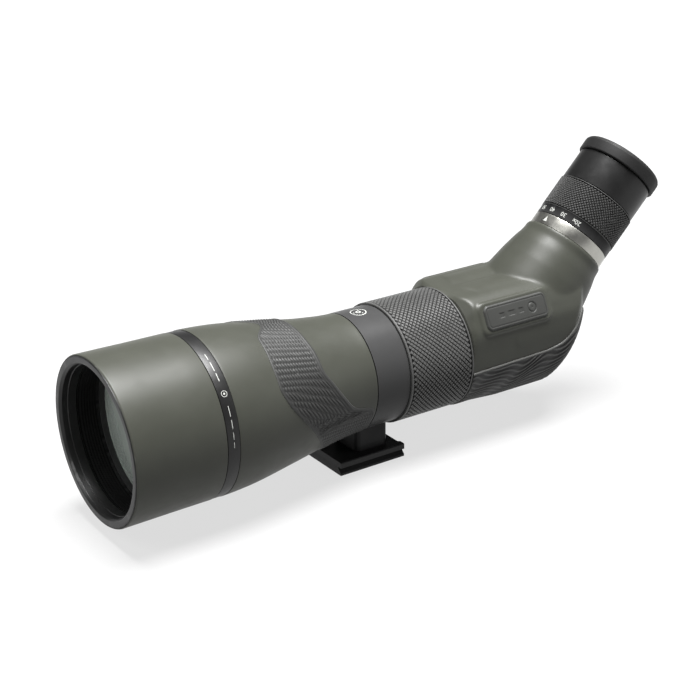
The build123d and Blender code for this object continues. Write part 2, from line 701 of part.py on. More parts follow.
with BuildPart() as prism_bracket:
    with BuildSketch(across(MAIN, BRACKET_FRONT)):
        RectangleRounded(52, 2 * ARM_OUT, 8)
        Circle(19.0, mode=Mode.SUBTRACT)
    extrude(amount=-BRACKET_PLATE)
    for sign in (1, -1):
        with BuildSketch(Plane.XZ.offset(-sign * ARM_IN)):
            with BuildLine():
                Polyline(
                    (BRACKET_FRONT, AXIS_Z - 12),
                    (ARM_REAR, AXIS_Z - 8),
                    (ARM_REAR, AXIS_Z + 6),
                    (PRISM_X - 12, clamp_z - 4),
                    (BRACKET_FRONT, clamp_z - 4),
                    close=True,
                )
            make_face()
        extrude(amount=-sign * (ARM_OUT - ARM_IN))
    with Locations(across(MAIN, BRACKET_FRONT)):
        with Locations(*BRACKET_SCREWS):
            Cylinder(1.6, 20, mode=Mode.SUBTRACT)
    with Locations(Plane(origin=(CLAMP_SCREW[0], 0, CLAMP_SCREW[1]), z_dir=(0, 1, 0))):
        Cylinder(1.3, 4 * ARM_OUT, mode=Mode.SUBTRACT)
save(prism_bracket, "prism_bracket")

with BuildPart() as prism_clamp:
    with BuildSketch(Plane.YZ.offset(PRISM_X - 5.5)):
        with BuildLine():
            strap = Polyline(
                (0, clamp_z + 0.05),
                (ARM_OUT + 0.05, clamp_z + 0.05),
                (ARM_OUT + 0.05, AXIS_Z + 2),
                (ARM_OUT + 0.05 + STRAP, AXIS_Z + 2),
                (ARM_OUT + 0.05 + STRAP, clamp_z + 0.05 + STRAP),
                (0, clamp_z + 0.05 + STRAP),
            )
            mirror(strap, about=Plane.YZ)
        make_face()
    extrude(amount=5)
    with Locations(Plane(origin=(CLAMP_SCREW[0], 0, CLAMP_SCREW[1]), z_dir=(0, 1, 0))):
        Cylinder(1.4, 4 * ARM_OUT, mode=Mode.SUBTRACT)
save(prism_clamp, "prism_clamp")

with BuildPart() as bracket_screws:
    with Locations(across(MAIN, BRACKET_FRONT - BRACKET_PLATE - FIT)):
        with Locations(*BRACKET_SCREWS):
            Cylinder(2.6, 1.8, align=(Align.CENTER, Align.CENTER, Align.MAX))
            Cylinder(1.5, 6.6, align=(Align.CENTER, Align.CENTER, Align.MIN))
save(bracket_screws, "bracket_screws")

with BuildPart() as clamp_screws:
    for sign in (1, -1):
        outside = sign * (ARM_OUT + 0.07 + STRAP)
        with Locations(Plane(origin=(CLAMP_SCREW[0], outside, CLAMP_SCREW[1]), z_dir=(0, sign, 0))):
            Cylinder(2.2, 1.4, align=(Align.CENTER, Align.CENTER, Align.MIN))
            Cylinder(1.25, 3.0, align=(Align.CENTER, Align.CENTER, Align.MAX))
save(clamp_screws, "clamp_screws")

# ---- eyepiece: fixed parts ------------------------------------------------------------------
EYE_TUBE_TOP = 107.0
FLANGE_R = OPENING_R - FIT
HEAD_R = 22.0
HEAD_TOP = 125.0
LENS_BORE_R = 17.5
KEY_STATION = 109.5  # middle of the eyecup's guide ring at rest
KEY_WIDTH = 4.0
DRIVE_STATION = 106.0  # eyecup drive pin at rest
DRIVE_ANGLE = 105.0
DRIVE_R = 1.2
DRIVE_DEPTH_R = 20.6

with BuildPart() as eyepiece_tube:
    add(
        turned(
            EYE,
            (50.0, EYE_BORE_R),
            (EYE_TUBE_TOP, EYE_BORE_R),
            (EYE_TUBE_TOP, EYE_TUBE_R),
            (NECK_TOP - 0.1, EYE_TUBE_R),
            (NECK_TOP - 0.1, FLANGE_R),
            (NECK_TOP - 6.0, FLANGE_R),
            (NECK_TOP - 6.0, EYE_TUBE_R),
            (50.0, EYE_TUBE_R),
        )
    )
    for cell, (station, lead) in ZOOM_CELLS.items():
        reach = abs(lead) * ZOOM_TURN / 360 + ZOOM_PIN_R + 0.3
        for angle in ZOOM_PIN_ANGLES[cell]:
            slot = (station - reach, station + reach, angle, EYE_BORE_R - 1, EYE_TUBE_R + 1)
            add(straight_slot(EYE, *slot, 2 * ZOOM_PIN_R + 0.2), mode=Mode.SUBTRACT)
save(eyepiece_tube, "eyepiece_tube")

with BuildPart() as index_ring:
    add(
        turned(
            EYE,
            (NECK_TOP, EYE_TUBE_R + FIT),
            (NECK_TOP + 2.5, EYE_TUBE_R + FIT),
            (NECK_TOP + 2.5, 23.0),
            (INDEX_TOP - GAP, 23.0),
            (INDEX_TOP - GAP, INDEX_R),
            (NECK_TOP, INDEX_R),
        )
    )
    chamfer(edges().filter_by(GeomType.CIRCLE).sort_by(SortBy.RADIUS)[-2:], 0.2)
save(index_ring, "index_ring")

with BuildPart() as field_stop:
    add(ring(EYE, 100.0, 101.5, 9.0, EYE_BORE_R - FIT))
save(field_stop, "field_stop")

key_slot = straight_slot(
    EYE, KEY_STATION - 2.2, KEY_STATION + LIFT + 2.2, 0, DRIVE_DEPTH_R - 0.1, HEAD_R + 1, KEY_WIDTH + 0.3
)
drive_groove = helical_slot(
    EYE,
    DRIVE_STATION + LIFT / 2,
    DRIVE_ANGLE + LIFT_TURN / 2,
    LIFT_LEAD,
    LIFT_TURN / 2 + 5,
    DRIVE_DEPTH_R - 0.1,
    HEAD_R + 1,
    2 * DRIVE_R + 0.2,
)
with BuildPart() as eyepiece_head:
    add(
        turned(
            EYE,
            (EYECUP_BOTTOM, EYE_TUBE_R + FIT),
            (EYE_TUBE_TOP + 0.1, EYE_TUBE_R + FIT),
            (EYE_TUBE_TOP + 0.1, EYE_BORE_R),
            (EYE_TUBE_TOP + 2, EYE_BORE_R),
            (EYE_TUBE_TOP + 2, LENS_BORE_R),
            (HEAD_TOP, LENS_BORE_R),
            (HEAD_TOP, HEAD_R),
            (EYECUP_BOTTOM, HEAD_R),
        )
    )
    add(key_slot, mode=Mode.SUBTRACT)
    add(drive_groove, mode=Mode.SUBTRACT)
save(eyepiece_head, "eyepiece_head")

with BuildPart() as field_lens:
    add(lens(EYE, 109.6, 114.6, LENS_BORE_R - 0.05, -0.5, 1.2))
save(field_lens, "field_lens")

with BuildPart() as eye_lens:
    add(lens(EYE, 117.4, 120.8, LENS_BORE_R - 0.05, 1.0, 0.6))
save(eye_lens, "eye_lens")

with BuildPart() as eye_lens_spacer:
    add(ring(EYE, 114.65, 117.35, 16.75, LENS_BORE_R - 0.05))
save(eye_lens_spacer, "eye_lens_spacer")

with BuildPart() as eye_lens_retainer:
    add(turned(EYE, (120.85, 15.2), (123.6, 16.4), (123.6, LENS_BORE_R - FIT), (120.85, LENS_BORE_R - FIT)))
save(eye_lens_retainer, "eye_lens_retainer")

# ---- eyepiece: zoom ring, cam tube and lens cells -------------------------------------------
CAM_R = 19.5
SLEEVE_R = 25.2
SCALE_TOP = 78.4

with BuildPart() as zoom_ring_sleeve:
    add(
        turned(
            EYE,
            (INDEX_TOP, 23.3),
            (INDEX_TOP, 26.4),
            (INDEX_TOP + 0.3, 26.7),
            (SCALE_TOP, 26.7),
            (SCALE_TOP, SLEEVE_R),
            (ZOOM_TOP, SLEEVE_R),
            (ZOOM_TOP, CAM_R + FIT),
            (ZOOM_TOP - 3.5, CAM_R + FIT),
            (ZOOM_TOP - 3.5, 23.3),
        )
    )
save(zoom_ring_sleeve, "zoom_ring_sleeve")

with BuildPart() as zoom_ring_grip:
    add(
        turned(
            EYE,
            (SCALE_TOP + 0.05, SLEEVE_R + FIT),
            (ZOOM_TOP, SLEEVE_R + FIT),
            (ZOOM_TOP, ZOOM_R - 0.5),
            (ZOOM_TOP - 0.5, ZOOM_R),
            (SCALE_TOP + 0.55, ZOOM_R),
            (SCALE_TOP + 0.05, ZOOM_R - 0.5),
        )
    )
save(zoom_ring_grip, "zoom_ring_grip")

cam_slots = [
    helical_slot(EYE, station, angle, lead, ZOOM_TURN + 6, EYE_TUBE_R - 1, CAM_R + 1, 2 * ZOOM_PIN_R + 0.2)
    for cell, (station, lead) in ZOOM_CELLS.items()
    for angle in ZOOM_PIN_ANGLES[cell]
]
with BuildPart() as zoom_cam_tube:
    add(ring(EYE, INDEX_TOP + 0.4, ZOOM_TOP - 0.1, EYE_TUBE_R + RUN, CAM_R))
    for slot in cam_slots:
        add(slot, mode=Mode.SUBTRACT)
save(zoom_cam_tube, "zoom_cam_tube")

CELL_WALL_R = 12.5
ZOOM_GLASS = {"zoom_front": (-1.0, 1.6), "zoom_rear": (-1.2, -1.0)}  # rear and front sags
for cell, (station, lead) in ZOOM_CELLS.items():
    rear = station - ZOOM_CELL_LENGTH / 2
    with BuildPart() as zoom_cell:
        add(
            turned(
                EYE,
                (rear, 11.0),
                (rear + 1, 11.0),
                (rear + 1, CELL_WALL_R),
                (rear + ZOOM_CELL_LENGTH, CELL_WALL_R),
                (rear + ZOOM_CELL_LENGTH, EYE_BORE_R - RUN),
                (rear, EYE_BORE_R - RUN),
            )
        )
        for angle in ZOOM_PIN_ANGLES[cell]:
            add(radial_pin(EYE, station, angle, 12, 16, ZOOM_PIN_R + FIT), mode=Mode.SUBTRACT)
    save(zoom_cell, f"{cell}_cell")
    with BuildPart() as zoom_lens:
        add(lens(EYE, rear + 1.1, rear + 4.6, CELL_WALL_R - 0.05, *ZOOM_GLASS[cell]))
    save(zoom_lens, f"{cell}_lens")
    with BuildPart() as zoom_pins:
        for angle in ZOOM_PIN_ANGLES[cell]:
            add(radial_pin(EYE, station, angle, CELL_WALL_R + 0.3, CAM_R + 0.7, ZOOM_PIN_R))
    save(zoom_pins, f"{cell}_pins")

# ---- twist-up eyecup ------------------------------------------------------------------------
GUIDE_RING_R = 24.0
SLEEVE_BORE_R = HEAD_R + 0.4
RIM_SEAT_R = 24.8
RIM_R = 28.0
SLEEVE_TOP = 128.0

with BuildPart() as eyecup_guide_ring:
    add(ring(EYE, KEY_STATION - 1.5, KEY_STATION + 1.5, HEAD_R + RUN, GUIDE_RING_R))
    with BuildSketch(spoke(EYE, KEY_STATION, 180, HEAD_R - 1)):
        Rectangle(5, 3)
    extrude(amount=5, mode=Mode.SUBTRACT)
    with BuildSketch(spoke(EYE, KEY_STATION, 0, DRIVE_DEPTH_R + 0.1)):
        Rectangle(3, KEY_WIDTH)
    extrude(amount=2.4)
save(eyecup_guide_ring, "eyecup_guide_ring")

with BuildPart() as eyecup_sleeve:
    add(
        turned(
            EYE,
            (EYECUP_BOTTOM, SLEEVE_BORE_R),
            (EYECUP_BOTTOM, EYECUP_R - 0.3),
            (EYECUP_BOTTOM + 0.3, EYECUP_R),
            (RIM_BOTTOM, EYECUP_R),
            (RIM_BOTTOM, RIM_SEAT_R),
            (SLEEVE_TOP, RIM_SEAT_R),
            (SLEEVE_TOP, SLEEVE_BORE_R),
        )
    )
    add(ring(EYE, KEY_STATION - 1.6, KEY_STATION + 1.6, 0, GUIDE_RING_R + RUN), mode=Mode.SUBTRACT)
    add(radial_pin(EYE, DRIVE_STATION, DRIVE_ANGLE, HEAD_R, GUIDE_RING_R, DRIVE_R + FIT), mode=Mode.SUBTRACT)
save(eyecup_sleeve, "eyecup_sleeve")

with BuildPart() as eyecup_drive_pin:
    add(radial_pin(EYE, DRIVE_STATION, DRIVE_ANGLE, DRIVE_DEPTH_R + 0.1, GUIDE_RING_R - FIT, DRIVE_R))
save(eyecup_drive_pin, "eyecup_drive_pin")

with BuildPart() as eyecup_rim:
    add(
        turned(
            EYE,
            (RIM_BOTTOM + 0.1, RIM_SEAT_R + FIT),
            (RIM_BOTTOM + 0.1, RIM_R - 0.5),
            (RIM_BOTTOM + 0.6, RIM_R),
            (EYECUP_TOP - 1.2, RIM_R),
            (EYECUP_TOP, RIM_R - 1.2),
            (EYECUP_TOP, 23.0),
            (EYECUP_TOP - 3.0, 20.5),
            (SLEEVE_TOP + FIT, 20.5),
            (SLEEVE_TOP + FIT, RIM_SEAT_R + FIT),
        )
    )
save(eyecup_rim, "eyecup_rim")
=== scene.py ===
import json
import math

import bmesh
import bpy
import numpy as np
from mathutils import Matrix, Vector
from mathutils.bvhtree import BVHTree


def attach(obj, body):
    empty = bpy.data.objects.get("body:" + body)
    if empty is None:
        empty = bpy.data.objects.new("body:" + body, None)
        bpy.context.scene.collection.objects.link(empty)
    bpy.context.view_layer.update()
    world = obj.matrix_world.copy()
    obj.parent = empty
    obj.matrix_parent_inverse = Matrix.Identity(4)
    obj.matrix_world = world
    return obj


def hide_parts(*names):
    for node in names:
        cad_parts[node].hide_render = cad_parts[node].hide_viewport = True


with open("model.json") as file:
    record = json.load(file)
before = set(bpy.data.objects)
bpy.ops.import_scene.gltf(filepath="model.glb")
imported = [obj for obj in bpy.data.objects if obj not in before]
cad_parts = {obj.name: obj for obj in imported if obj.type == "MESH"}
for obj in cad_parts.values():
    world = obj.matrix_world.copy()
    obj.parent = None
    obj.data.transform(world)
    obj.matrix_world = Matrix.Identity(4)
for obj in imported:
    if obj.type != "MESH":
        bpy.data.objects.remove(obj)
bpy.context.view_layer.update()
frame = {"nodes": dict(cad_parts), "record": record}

MM = 0.001  # every size below is in millimetres, as in the CAD; meshes are in metres


# ---- axes -------------------------------------------------------------------------------
class TurningAxis:
    """Maps (station along the axis, radius, angle) to the row frame.
    Angles are in degrees from the top towards the scope's left."""

    def __init__(self, origin, along, up):
        self.origin = np.array(origin)
        self.along = np.array(along) / np.linalg.norm(along)
        self.up = np.array(up) / np.linalg.norm(up)

    def at(self, station, radius, angle):
        station, radius, angle = np.broadcast_arrays(station, radius, np.radians(angle))
        out = np.multiply.outer(np.cos(angle), self.up) + np.multiply.outer(np.sin(angle), (0, 1, 0))
        points = self.origin + np.multiply.outer(station, self.along) + out * radius[..., None]
        return points * MM


AXIS_Z = 58.0
MAIN = TurningAxis((0, 0, AXIS_Z), (1, 0, 0), (0, 0, 1))
EYE = TurningAxis((-120.6, 0, AXIS_Z), (-1, 0, 1), (1, 0, 1))


# ---- meshes -----------------------------------------------------------------------------
def new_piece(name, body, material, mesh, replaced=()):
    """Puts a mesh in the scene as a piece of the object."""
    piece = bpy.data.objects.new(name, mesh)
    bpy.context.scene.collection.objects.link(piece)
    mesh.materials.clear()
    mesh.materials.append(material)
    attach(piece, body)
    if replaced:
        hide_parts(*replaced)
    return piece


def build_mesh(name, points, faces, sharp=32.0, merge=True):
    """Mesh with merged doubles, outward normals, and smooth shading up to an angle."""
    mesh = bpy.data.meshes.new(name)
    mesh.from_pydata(np.asarray(points).reshape(-1, 3).tolist(), [], faces)
    shell = bmesh.new()
    shell.from_mesh(mesh)
    if merge:
        bmesh.ops.remove_doubles(shell, verts=shell.verts, dist=1e-6)
    bmesh.ops.recalc_face_normals(shell, faces=shell.faces)
    shell.to_mesh(mesh)
    shell.free()
    mesh.shade_smooth()
    mesh.set_sharp_from_angle(angle=math.radians(sharp))
    return mesh


def grid_faces(rows, columns, wrap_rows=False, wrap_columns=False):
    """Quads of a grid of rows x columns points."""
    faces = []
    for i in range(rows if wrap_rows else rows - 1):
        for j in range(columns if wrap_columns else columns - 1):
            a, b = i * columns, ((i + 1) % rows) * columns
            k = (j + 1) % columns
            faces.append((a + j, a + k, b + k, b + j))
    return faces


def sheet_faces(rows, columns, wrap=False):
    """Faces of a closed sheet: a grid of points on top, then the same grid of points below."""
    count = rows * columns
    top = grid_faces(rows, columns, wrap_rows=wrap)
    faces = top + [tuple(count + i for i in reversed(face)) for face in top]
    if wrap:
        loops = [[i * columns + j for i in range(rows)] for j in (0, columns - 1)]
    else:
        near = [i * columns for i in range(rows - 2, 0, -1)]
        far = [i * columns + columns - 1 for i in range(1, rows)]
        back = [(rows - 1) * columns + j for j in range(columns - 2, -1, -1)]
        loops = [[*range(columns), *far, *back, *near]]
    for loop in loops:
        for a, b in zip(loop, loop[1:] + loop[:1]):
            faces.append((a, b, count + b, count + a))
    return faces


def coordinates(mesh):
    flat = np.zeros(len(mesh.vertices) * 3)
    mesh.vertices.foreach_get("co", flat)
    return flat.reshape(-1, 3)


def rounded_corner(before, here, after, reach, steps):
    """Points of a short curve that replaces one corner of an outline."""
    a, b = before - here, after - here
    start, end = here + a / np.linalg.norm(a) * reach, here + b / np.linalg.norm(b) * reach
    ts = np.linspace(0, 1, steps)
    return [tuple((1 - t) ** 2 * start + 2 * t * (1 - t) * here + t * t * end) for t in ts]


def soften(corners, size, smallest_turn=14.0):
    """Rounds each real corner of a closed outline with a short curve."""
    corners = [np.array(c, float) for c in corners]
    outline = []
    for index, here in enumerate(corners):
        before, after = corners[index - 1], corners[(index + 1) % len(corners)]
        a, b = before - here, after - here
        la, lb = np.linalg.norm(a), np.linalg.norm(b)
        turn = 180 - math.degrees(math.acos(np.clip(a @ b / (la * lb), -1, 1)))
        if turn < smallest_turn or here[1] < 0.01:
            outline.append(tuple(here))
            continue
        reach = min(size, 0.42 * la, 0.42 * lb)
        outline += rounded_corner(before, here, after, reach, 5)
    return outline


def lathe(name, axis, corners, segments=224, edge=0.25):
    """Turned solid whose section corners are (station, radius)."""
    outline = np.array(soften(corners, edge))
    angles = np.arange(segments) * 360.0 / segments
    points = axis.at(outline[:, :1], outline[:, 1:], angles[None, :])
    faces = grid_faces(len(outline), segments, wrap_rows=True, wrap_columns=True)
    return build_mesh(name, points, faces)


def dome(station, radius, sag, steps=14):
    """Section points of a spherical lens face, from the rim to the axis."""
    sphere = (radius**2 + sag**2) / (2 * abs(sag))
    points = []
    for step in range(steps + 1):
        r = radius * (1 - step / steps)
        lift = math.sqrt(sphere**2 - r**2) - (sphere - abs(sag))
        points.append((station + math.copysign(lift, sag), r))
    return points


def knurled_ring(name, axis, start, end, root, height, inner, around, land, flat):
    """Ring with a diamond knurl between two plain lands.
    around is the number of diamonds in a row, and flat the share of each one that its crest takes."""
    first, last = start + land, end - land
    rows = 2 * int(round((last - first) / (2 * math.pi * root / around)))
    pitch = (last - first) / (rows + 1)  # half a diamond along the axis
    step = 360.0 / around
    crown = root + height
    base, tops, faces = [], [], []
    for row in range(rows + 2):
        for column in range(around):
            base.append((first + row * pitch, root, (column + 0.5 * (row % 2)) * step))
    count = len(base)

    def corner(row, column):
        return row * around + column % around

    for row in range(1, rows + 1):
        odd = row % 2
        for column in range(around):
            # each diamond is centred where its row has no base corner
            left, right = corner(row, column), corner(row, column + 1)
            low, high = corner(row - 1, column + odd), corner(row + 1, column + odd)
            station, turn = first + row * pitch, (column + 0.5 * odd + 0.5) * step
            crest = []
            for ds, da in ((0, -0.5), (-1, 0), (0, 0.5), (1, 0)):
                crest.append(count + len(tops))
                tops.append((station + ds * pitch * flat, crown, turn + da * step * flat))
            corners = (left, low, right, high)
            for k in range(4):
                n = (k + 1) % 4
                faces.append((corners[k], corners[n], crest[n], crest[k]))
            faces.append(tuple(crest))
    final = rows + 1
    for column in range(around):
        faces.append((corner(0, column), corner(0, column + 1), corner(1, column)))
        faces.append((corner(final, column), corner(final, column + 1), corner(final - 1, column + 1)))
    # plain land, end face and half of the bore on the first side, then the same on the last
    wall = [(first - 0.05, crown - 0.25), (first - 0.2, crown), (start + 0.35, crown), (start, crown - 0.35)]
    wall += [(start, inner), (end, inner)]
    wall += [(end, crown - 0.35), (end - 0.35, crown), (last + 0.2, crown), (last + 0.05, crown - 0.25)]
    total = count + len(tops)
    loops = [[corner(0, c) for c in range(around)]]
    extra = []
    for number, (station, radius) in enumerate(wall):
        turn = 0.5 if number >= len(wall) // 2 else 0.0  # the last row is half a step round
        loops.append([total + len(extra) + c for c in range(around)])
        extra += [(station, radius, (c + turn) * step) for c in range(around)]
    loops.append([corner(final, c) for c in range(around)])
    for below, above in zip(loops[:-1], loops[1:]):
        for c in range(around):
            n = (c + 1) % around
            faces.append((below[c], below[n], above[n], above[c]))
    stations, radii, angles = np.array(base + tops + extra).T
    return build_mesh(name, axis.at(stations, radii, angles), faces, sharp=25.0, merge=False)


# ---- materials --------------------------------------------------------------------------
def link(tree, source, target):
    tree.links.new(source, target)


MOTTLE = 60.0  # broad unevenness of colour and roughness, in features per metre


def noise(tree, coords, scale, detail=4.0, roughness=0.55):
    """Noise texture on object coordinates; scale is features per metre."""
    node = tree.nodes.new("ShaderNodeTexNoise")
    node.inputs["Scale"].default_value = scale
    node.inputs["Detail"].default_value = detail
    node.inputs["Roughness"].default_value = roughness
    link(tree, coords, node.inputs["Vector"])
    return node.outputs["Fac"]


def spread(tree, value, low, high, start=0.3, end=0.7):
    """Maps a noise value onto a range."""
    node = tree.nodes.new("ShaderNodeMapRange")
    for key, number in zip(("From Min", "From Max", "To Min", "To Max"), (start, end, low, high)):
        node.inputs[key].default_value = number
    link(tree, value, node.inputs["Value"])
    return node.outputs["Result"]


def ramp(tree, value, stops):
    """Colour ramp through (position, colour) stops."""
    node = tree.nodes.new("ShaderNodeValToRGB")
    elements = node.color_ramp.elements
    while len(elements) < len(stops):
        elements.new(0.5)
    for element, (position, colour) in zip(elements, stops):
        element.position = position
        element.color = (*colour, 1)
    link(tree, value, node.inputs["Fac"])
    return node.outputs["Color"]


def worn(tree, colour, bare, amount=0.5, start=0.53, end=0.62):
    """Mixes a rubbed colour in along convex edges."""
    geometry = tree.nodes.new("ShaderNodeNewGeometry")
    edge = spread(tree, geometry.outputs["Pointiness"], 0.0, amount, start, end)
    mix = tree.nodes.new("ShaderNodeMix")
    mix.data_type = "RGBA"
    link(tree, edge, mix.inputs["Factor"])
    link(tree, colour, mix.inputs["A"])
    mix.inputs["B"].default_value = (*bare, 1)
    return mix.outputs["Result"]


def surface(name, colour, vary, rough, grain, depth, metallic=0.0, specular=0.5, bare=None):
    """Principled material: mottled colour, uneven roughness, fine grain and rubbed edges.
    grain is the grain's features per metre and depth the bump's height in mm."""
    material = bpy.data.materials.new(name)
    material.use_nodes = True
    tree = material.node_tree
    shader = tree.nodes["Principled BSDF"]
    coords = tree.nodes.new("ShaderNodeTexCoord").outputs["Object"]
    mottle = noise(tree, coords, MOTTLE, detail=6.0)
    dark = tuple(c * (1 - vary) for c in colour)
    light = tuple(c * (1 + vary) for c in colour)
    tint = ramp(tree, mottle, ((0.3, dark), (0.7, light)))
    if bare:
        tint = worn(tree, tint, bare)
    link(tree, tint, shader.inputs["Base Color"])
    fine = noise(tree, coords, grain, detail=3.0)
    smudge = noise(tree, coords, MOTTLE * 2.3, detail=8.0, roughness=0.65)
    link(tree, spread(tree, smudge, rough[0], rough[1]), shader.inputs["Roughness"])
    bump = tree.nodes.new("ShaderNodeBump")
    bump.inputs["Strength"].default_value = 1.0
    bump.inputs["Distance"].default_value = depth * MM
    link(tree, fine, bump.inputs["Height"])
    link(tree, bump.outputs["Normal"], shader.inputs["Normal"])
    shader.inputs["Metallic"].default_value = metallic
    shader.inputs["Specular IOR Level"].default_value = specular
    return material


def glass_material(name, clear, tints):
    """Multicoated optical glass with a faint uneven coating. clear is the share of light let through."""
    material = bpy.data.materials.new(name)
    material.use_nodes = True
    tree = material.node_tree
    shader = tree.nodes["Principled BSDF"]
    coords = tree.nodes.new("ShaderNodeTexCoord").outputs["Object"]
    cloud = noise(tree, coords, 25.0, detail=2.0)
    tint = ramp(tree, cloud, ((0.3, tints[0]), (0.7, tints[1])))
    link(tree, tint, shader.inputs["Base Color"])
    link(tree, spread(tree, cloud, 0.01, 0.05), shader.inputs["Roughness"])
    bump = tree.nodes.new("ShaderNodeBump")
    bump.inputs["Distance"].default_value = 0.002 * MM
    link(tree, noise(tree, coords, 900.0), bump.inputs["Height"])
    link(tree, bump.outputs["Normal"], shader.inputs["Normal"])
    shader.inputs["Transmission Weight"].default_value = clear
    shader.inputs["IOR"].default_value = 1.52
    shader.inputs["Coat Weight"].default_value = 0.4
    shader.inputs["Coat Tint"].default_value = (0.75, 0.95, 0.85, 1)
    return material


def relief_with_painted_shade(name, groove_shade, crest, rough, grain, depth, start=0.47, end=0.53):
    """Moulded or knurled surface: a dark painted shade in the grooves, mixed in by pointiness, against
    lighter crests.
    """
    material = surface(name, crest, 0.08, rough, grain, depth, specular=0.24)
    tree = material.node_tree
    shader = tree.nodes["Principled BSDF"]
    tint = shader.inputs["Base Color"].links[0].from_socket
    geometry = tree.nodes.new("ShaderNodeNewGeometry")
    mix = tree.nodes.new("ShaderNodeMix")
    mix.data_type = "RGBA"
    link(tree, spread(tree, geometry.outputs["Pointiness"], 0.0, 1.0, start, end), mix.inputs["Factor"])
    # painted shade: hollow places take the dark groove colour
    mix.inputs["A"].default_value = (*groove_shade, 1)
    link(tree, tint, mix.inputs["B"])
    link(tree, mix.outputs["Result"], shader.inputs["Base Color"])
    return material


MATERIALS = {
    "olive_paint": surface(
        "olive_paint", (0.0285, 0.0296, 0.0243), 0.05, (0.37, 0.46), 2600, 0.006, specular=0.16,
        bare=(0.055, 0.056, 0.050),
    ),
    "black_anodised": surface(
        "black_anodised", (0.0032, 0.0032, 0.0034), 0.12, (0.30, 0.42), 4200, 0.005, specular=0.08,
        bare=(0.05, 0.05, 0.05),
    ),
    "black_paint": surface(
        "black_paint", (0.0035, 0.0035, 0.0035), 0.15, (0.70, 0.85), 5200, 0.015, specular=0.06,
        bare=(0.012, 0.012, 0.012),
    ),
    "rubber": surface(
        "rubber", (0.0075, 0.0075, 0.0075), 0.12, (0.50, 0.64), 3400, 0.015, specular=0.18,
        bare=(0.025, 0.025, 0.024),
    ),
    "silver": surface(
        "silver", (0.36, 0.357, 0.33), 0.06, (0.30, 0.42), 3000, 0.006, metallic=1.0,
        bare=(0.8, 0.8, 0.78),
    ),
    "steel": surface(
        "steel", (0.42, 0.42, 0.43), 0.08, (0.22, 0.36), 3500, 0.006, metallic=1.0,
        bare=(0.6, 0.6, 0.6),
    ),
    "ptfe": surface("ptfe", (0.40, 0.40, 0.39), 0.04, (0.35, 0.5), 2500, 0.01, bare=(0.8, 0.8, 0.79)),
    "brass": surface(
        "brass", (0.60, 0.42, 0.18), 0.08, (0.25, 0.4), 3500, 0.006, metallic=1.0,
        bare=(0.8, 0.62, 0.3),
    ),
    "black_plastic": surface(
        "black_plastic", (0.010, 0.010, 0.0105), 0.1, (0.42, 0.56), 3800, 0.015, specular=0.25,
        bare=(0.028, 0.028, 0.028),
    ),
    "glass": glass_material("glass", 1.0, ((0.86, 0.94, 0.90), (0.90, 0.90, 0.97))),
    # front_glass lets only 42 percent through; its grey tint is a painted reflection of the coated lens
    "front_glass": glass_material("front_glass", 0.42, ((0.37, 0.37, 0.36), (0.45, 0.448, 0.435))),
    "print": surface("white_print", (0.26, 0.265, 0.25), 0.08, (0.5, 0.65), 5000, 0.01),
    "satin_black": surface(
        "satin_black", (0.0065, 0.0065, 0.0065), 0.1, (0.32, 0.42), 4200, 0.005, specular=0.24,
        bare=(0.05, 0.05, 0.05),
    ),
    # in the relief materials below, the first colour is painted shade for the grooves and the second the
    # crest colour
    "knurl_black": relief_with_painted_shade(
        "knurl_black", (0.004, 0.004, 0.004), (0.046, 0.046, 0.045), (0.36, 0.48), 4200, 0.010,
    ),
    "zoom_knurl": relief_with_painted_shade(
        "zoom_knurl", (0.002, 0.002, 0.002), (0.036, 0.036, 0.0355), (0.36, 0.46), 4200, 0.010,
    ),
    "panel_grey": relief_with_painted_shade(
        "panel_grey", (0.008, 0.008, 0.0078), (0.034, 0.0345, 0.033), (0.54, 0.64), 4200, 0.012,
        0.47, 0.58,
    ),
    "boot_rubber": relief_with_painted_shade(
        "boot_rubber", (0.006, 0.006, 0.006), (0.072, 0.0725, 0.069), (0.44, 0.56), 4200, 0.012,
        0.49, 0.58,
    ),
    "pad_rubber": relief_with_painted_shade(
        "pad_rubber", (0.005, 0.005, 0.005), (0.021, 0.0215, 0.0200), (0.46, 0.58), 3600, 0.015,
        0.44, 0.50,
    ),
}


def dress_cad_nodes():
    """Gives every carried-over CAD node the material of its record slot."""
    slots = {part["node"]: part["material_slot"] for part in frame["record"]["subparts"]}
    for name, node in frame["nodes"].items():
        material = MATERIALS[slots[name]]
        for index in range(len(node.material_slots)):
            node.material_slots[index].material = material


dress_cad_nodes()
frame["nodes"]["objective_retaining_ring"].material_slots[0].material = MATERIALS["satin_black"]


def paint_inside(mesh, material, test):
    """Gives the faces that pass a test on (x, radius from the objective axis) in mm a second material."""
    mesh.materials.append(material)
    for face in mesh.polygons:
        x, y, z = face.center / MM
        if test(x, math.hypot(y, z - AXIS_Z)):
            face.material_index = len(mesh.materials) - 1


BAND_X, BAND_R = 113.5, 49.1  # middle and outside radius of the name band


# ---- objective end ----------------------------------------------------------------------
def make_hood():
    tube = lathe(
        "hood_tube", MAIN,
        [
            (117.75, 47.75), (173.3, 47.75), (173.3, 49.25), (173.75, 49.45), (172.9, 50.0),
            (158, 49.8), (143, 49.55), (130, 49.42), (117.75, 49.3),
        ],
        edge=0.35,
    )
    new_piece("hood_tube", "sunshade", MATERIALS["olive_paint"], tube, ["sunshade_tube"])
    paint_inside(tube, MATERIALS["black_paint"], lambda x, r: r < 48.2)
    rim = lathe(
        "hood_rim", MAIN,
        [
            (163.9, 43.2), (169.0, 43.5), (169.15, 43.9), (172.5, 44.05), (174.0, 45.3), (174.0, 48.55),
            (173.75, 48.7), (173.75, 48.95), (174.0, 49.1), (173.55, 49.2), (173.35, 49.15),
            (173.35, 47.73), (163.9, 47.73),
        ],
        edge=0.3,
    )
    new_piece("hood_rim", "sunshade", MATERIALS["satin_black"], rim, ["sunshade_rim"])


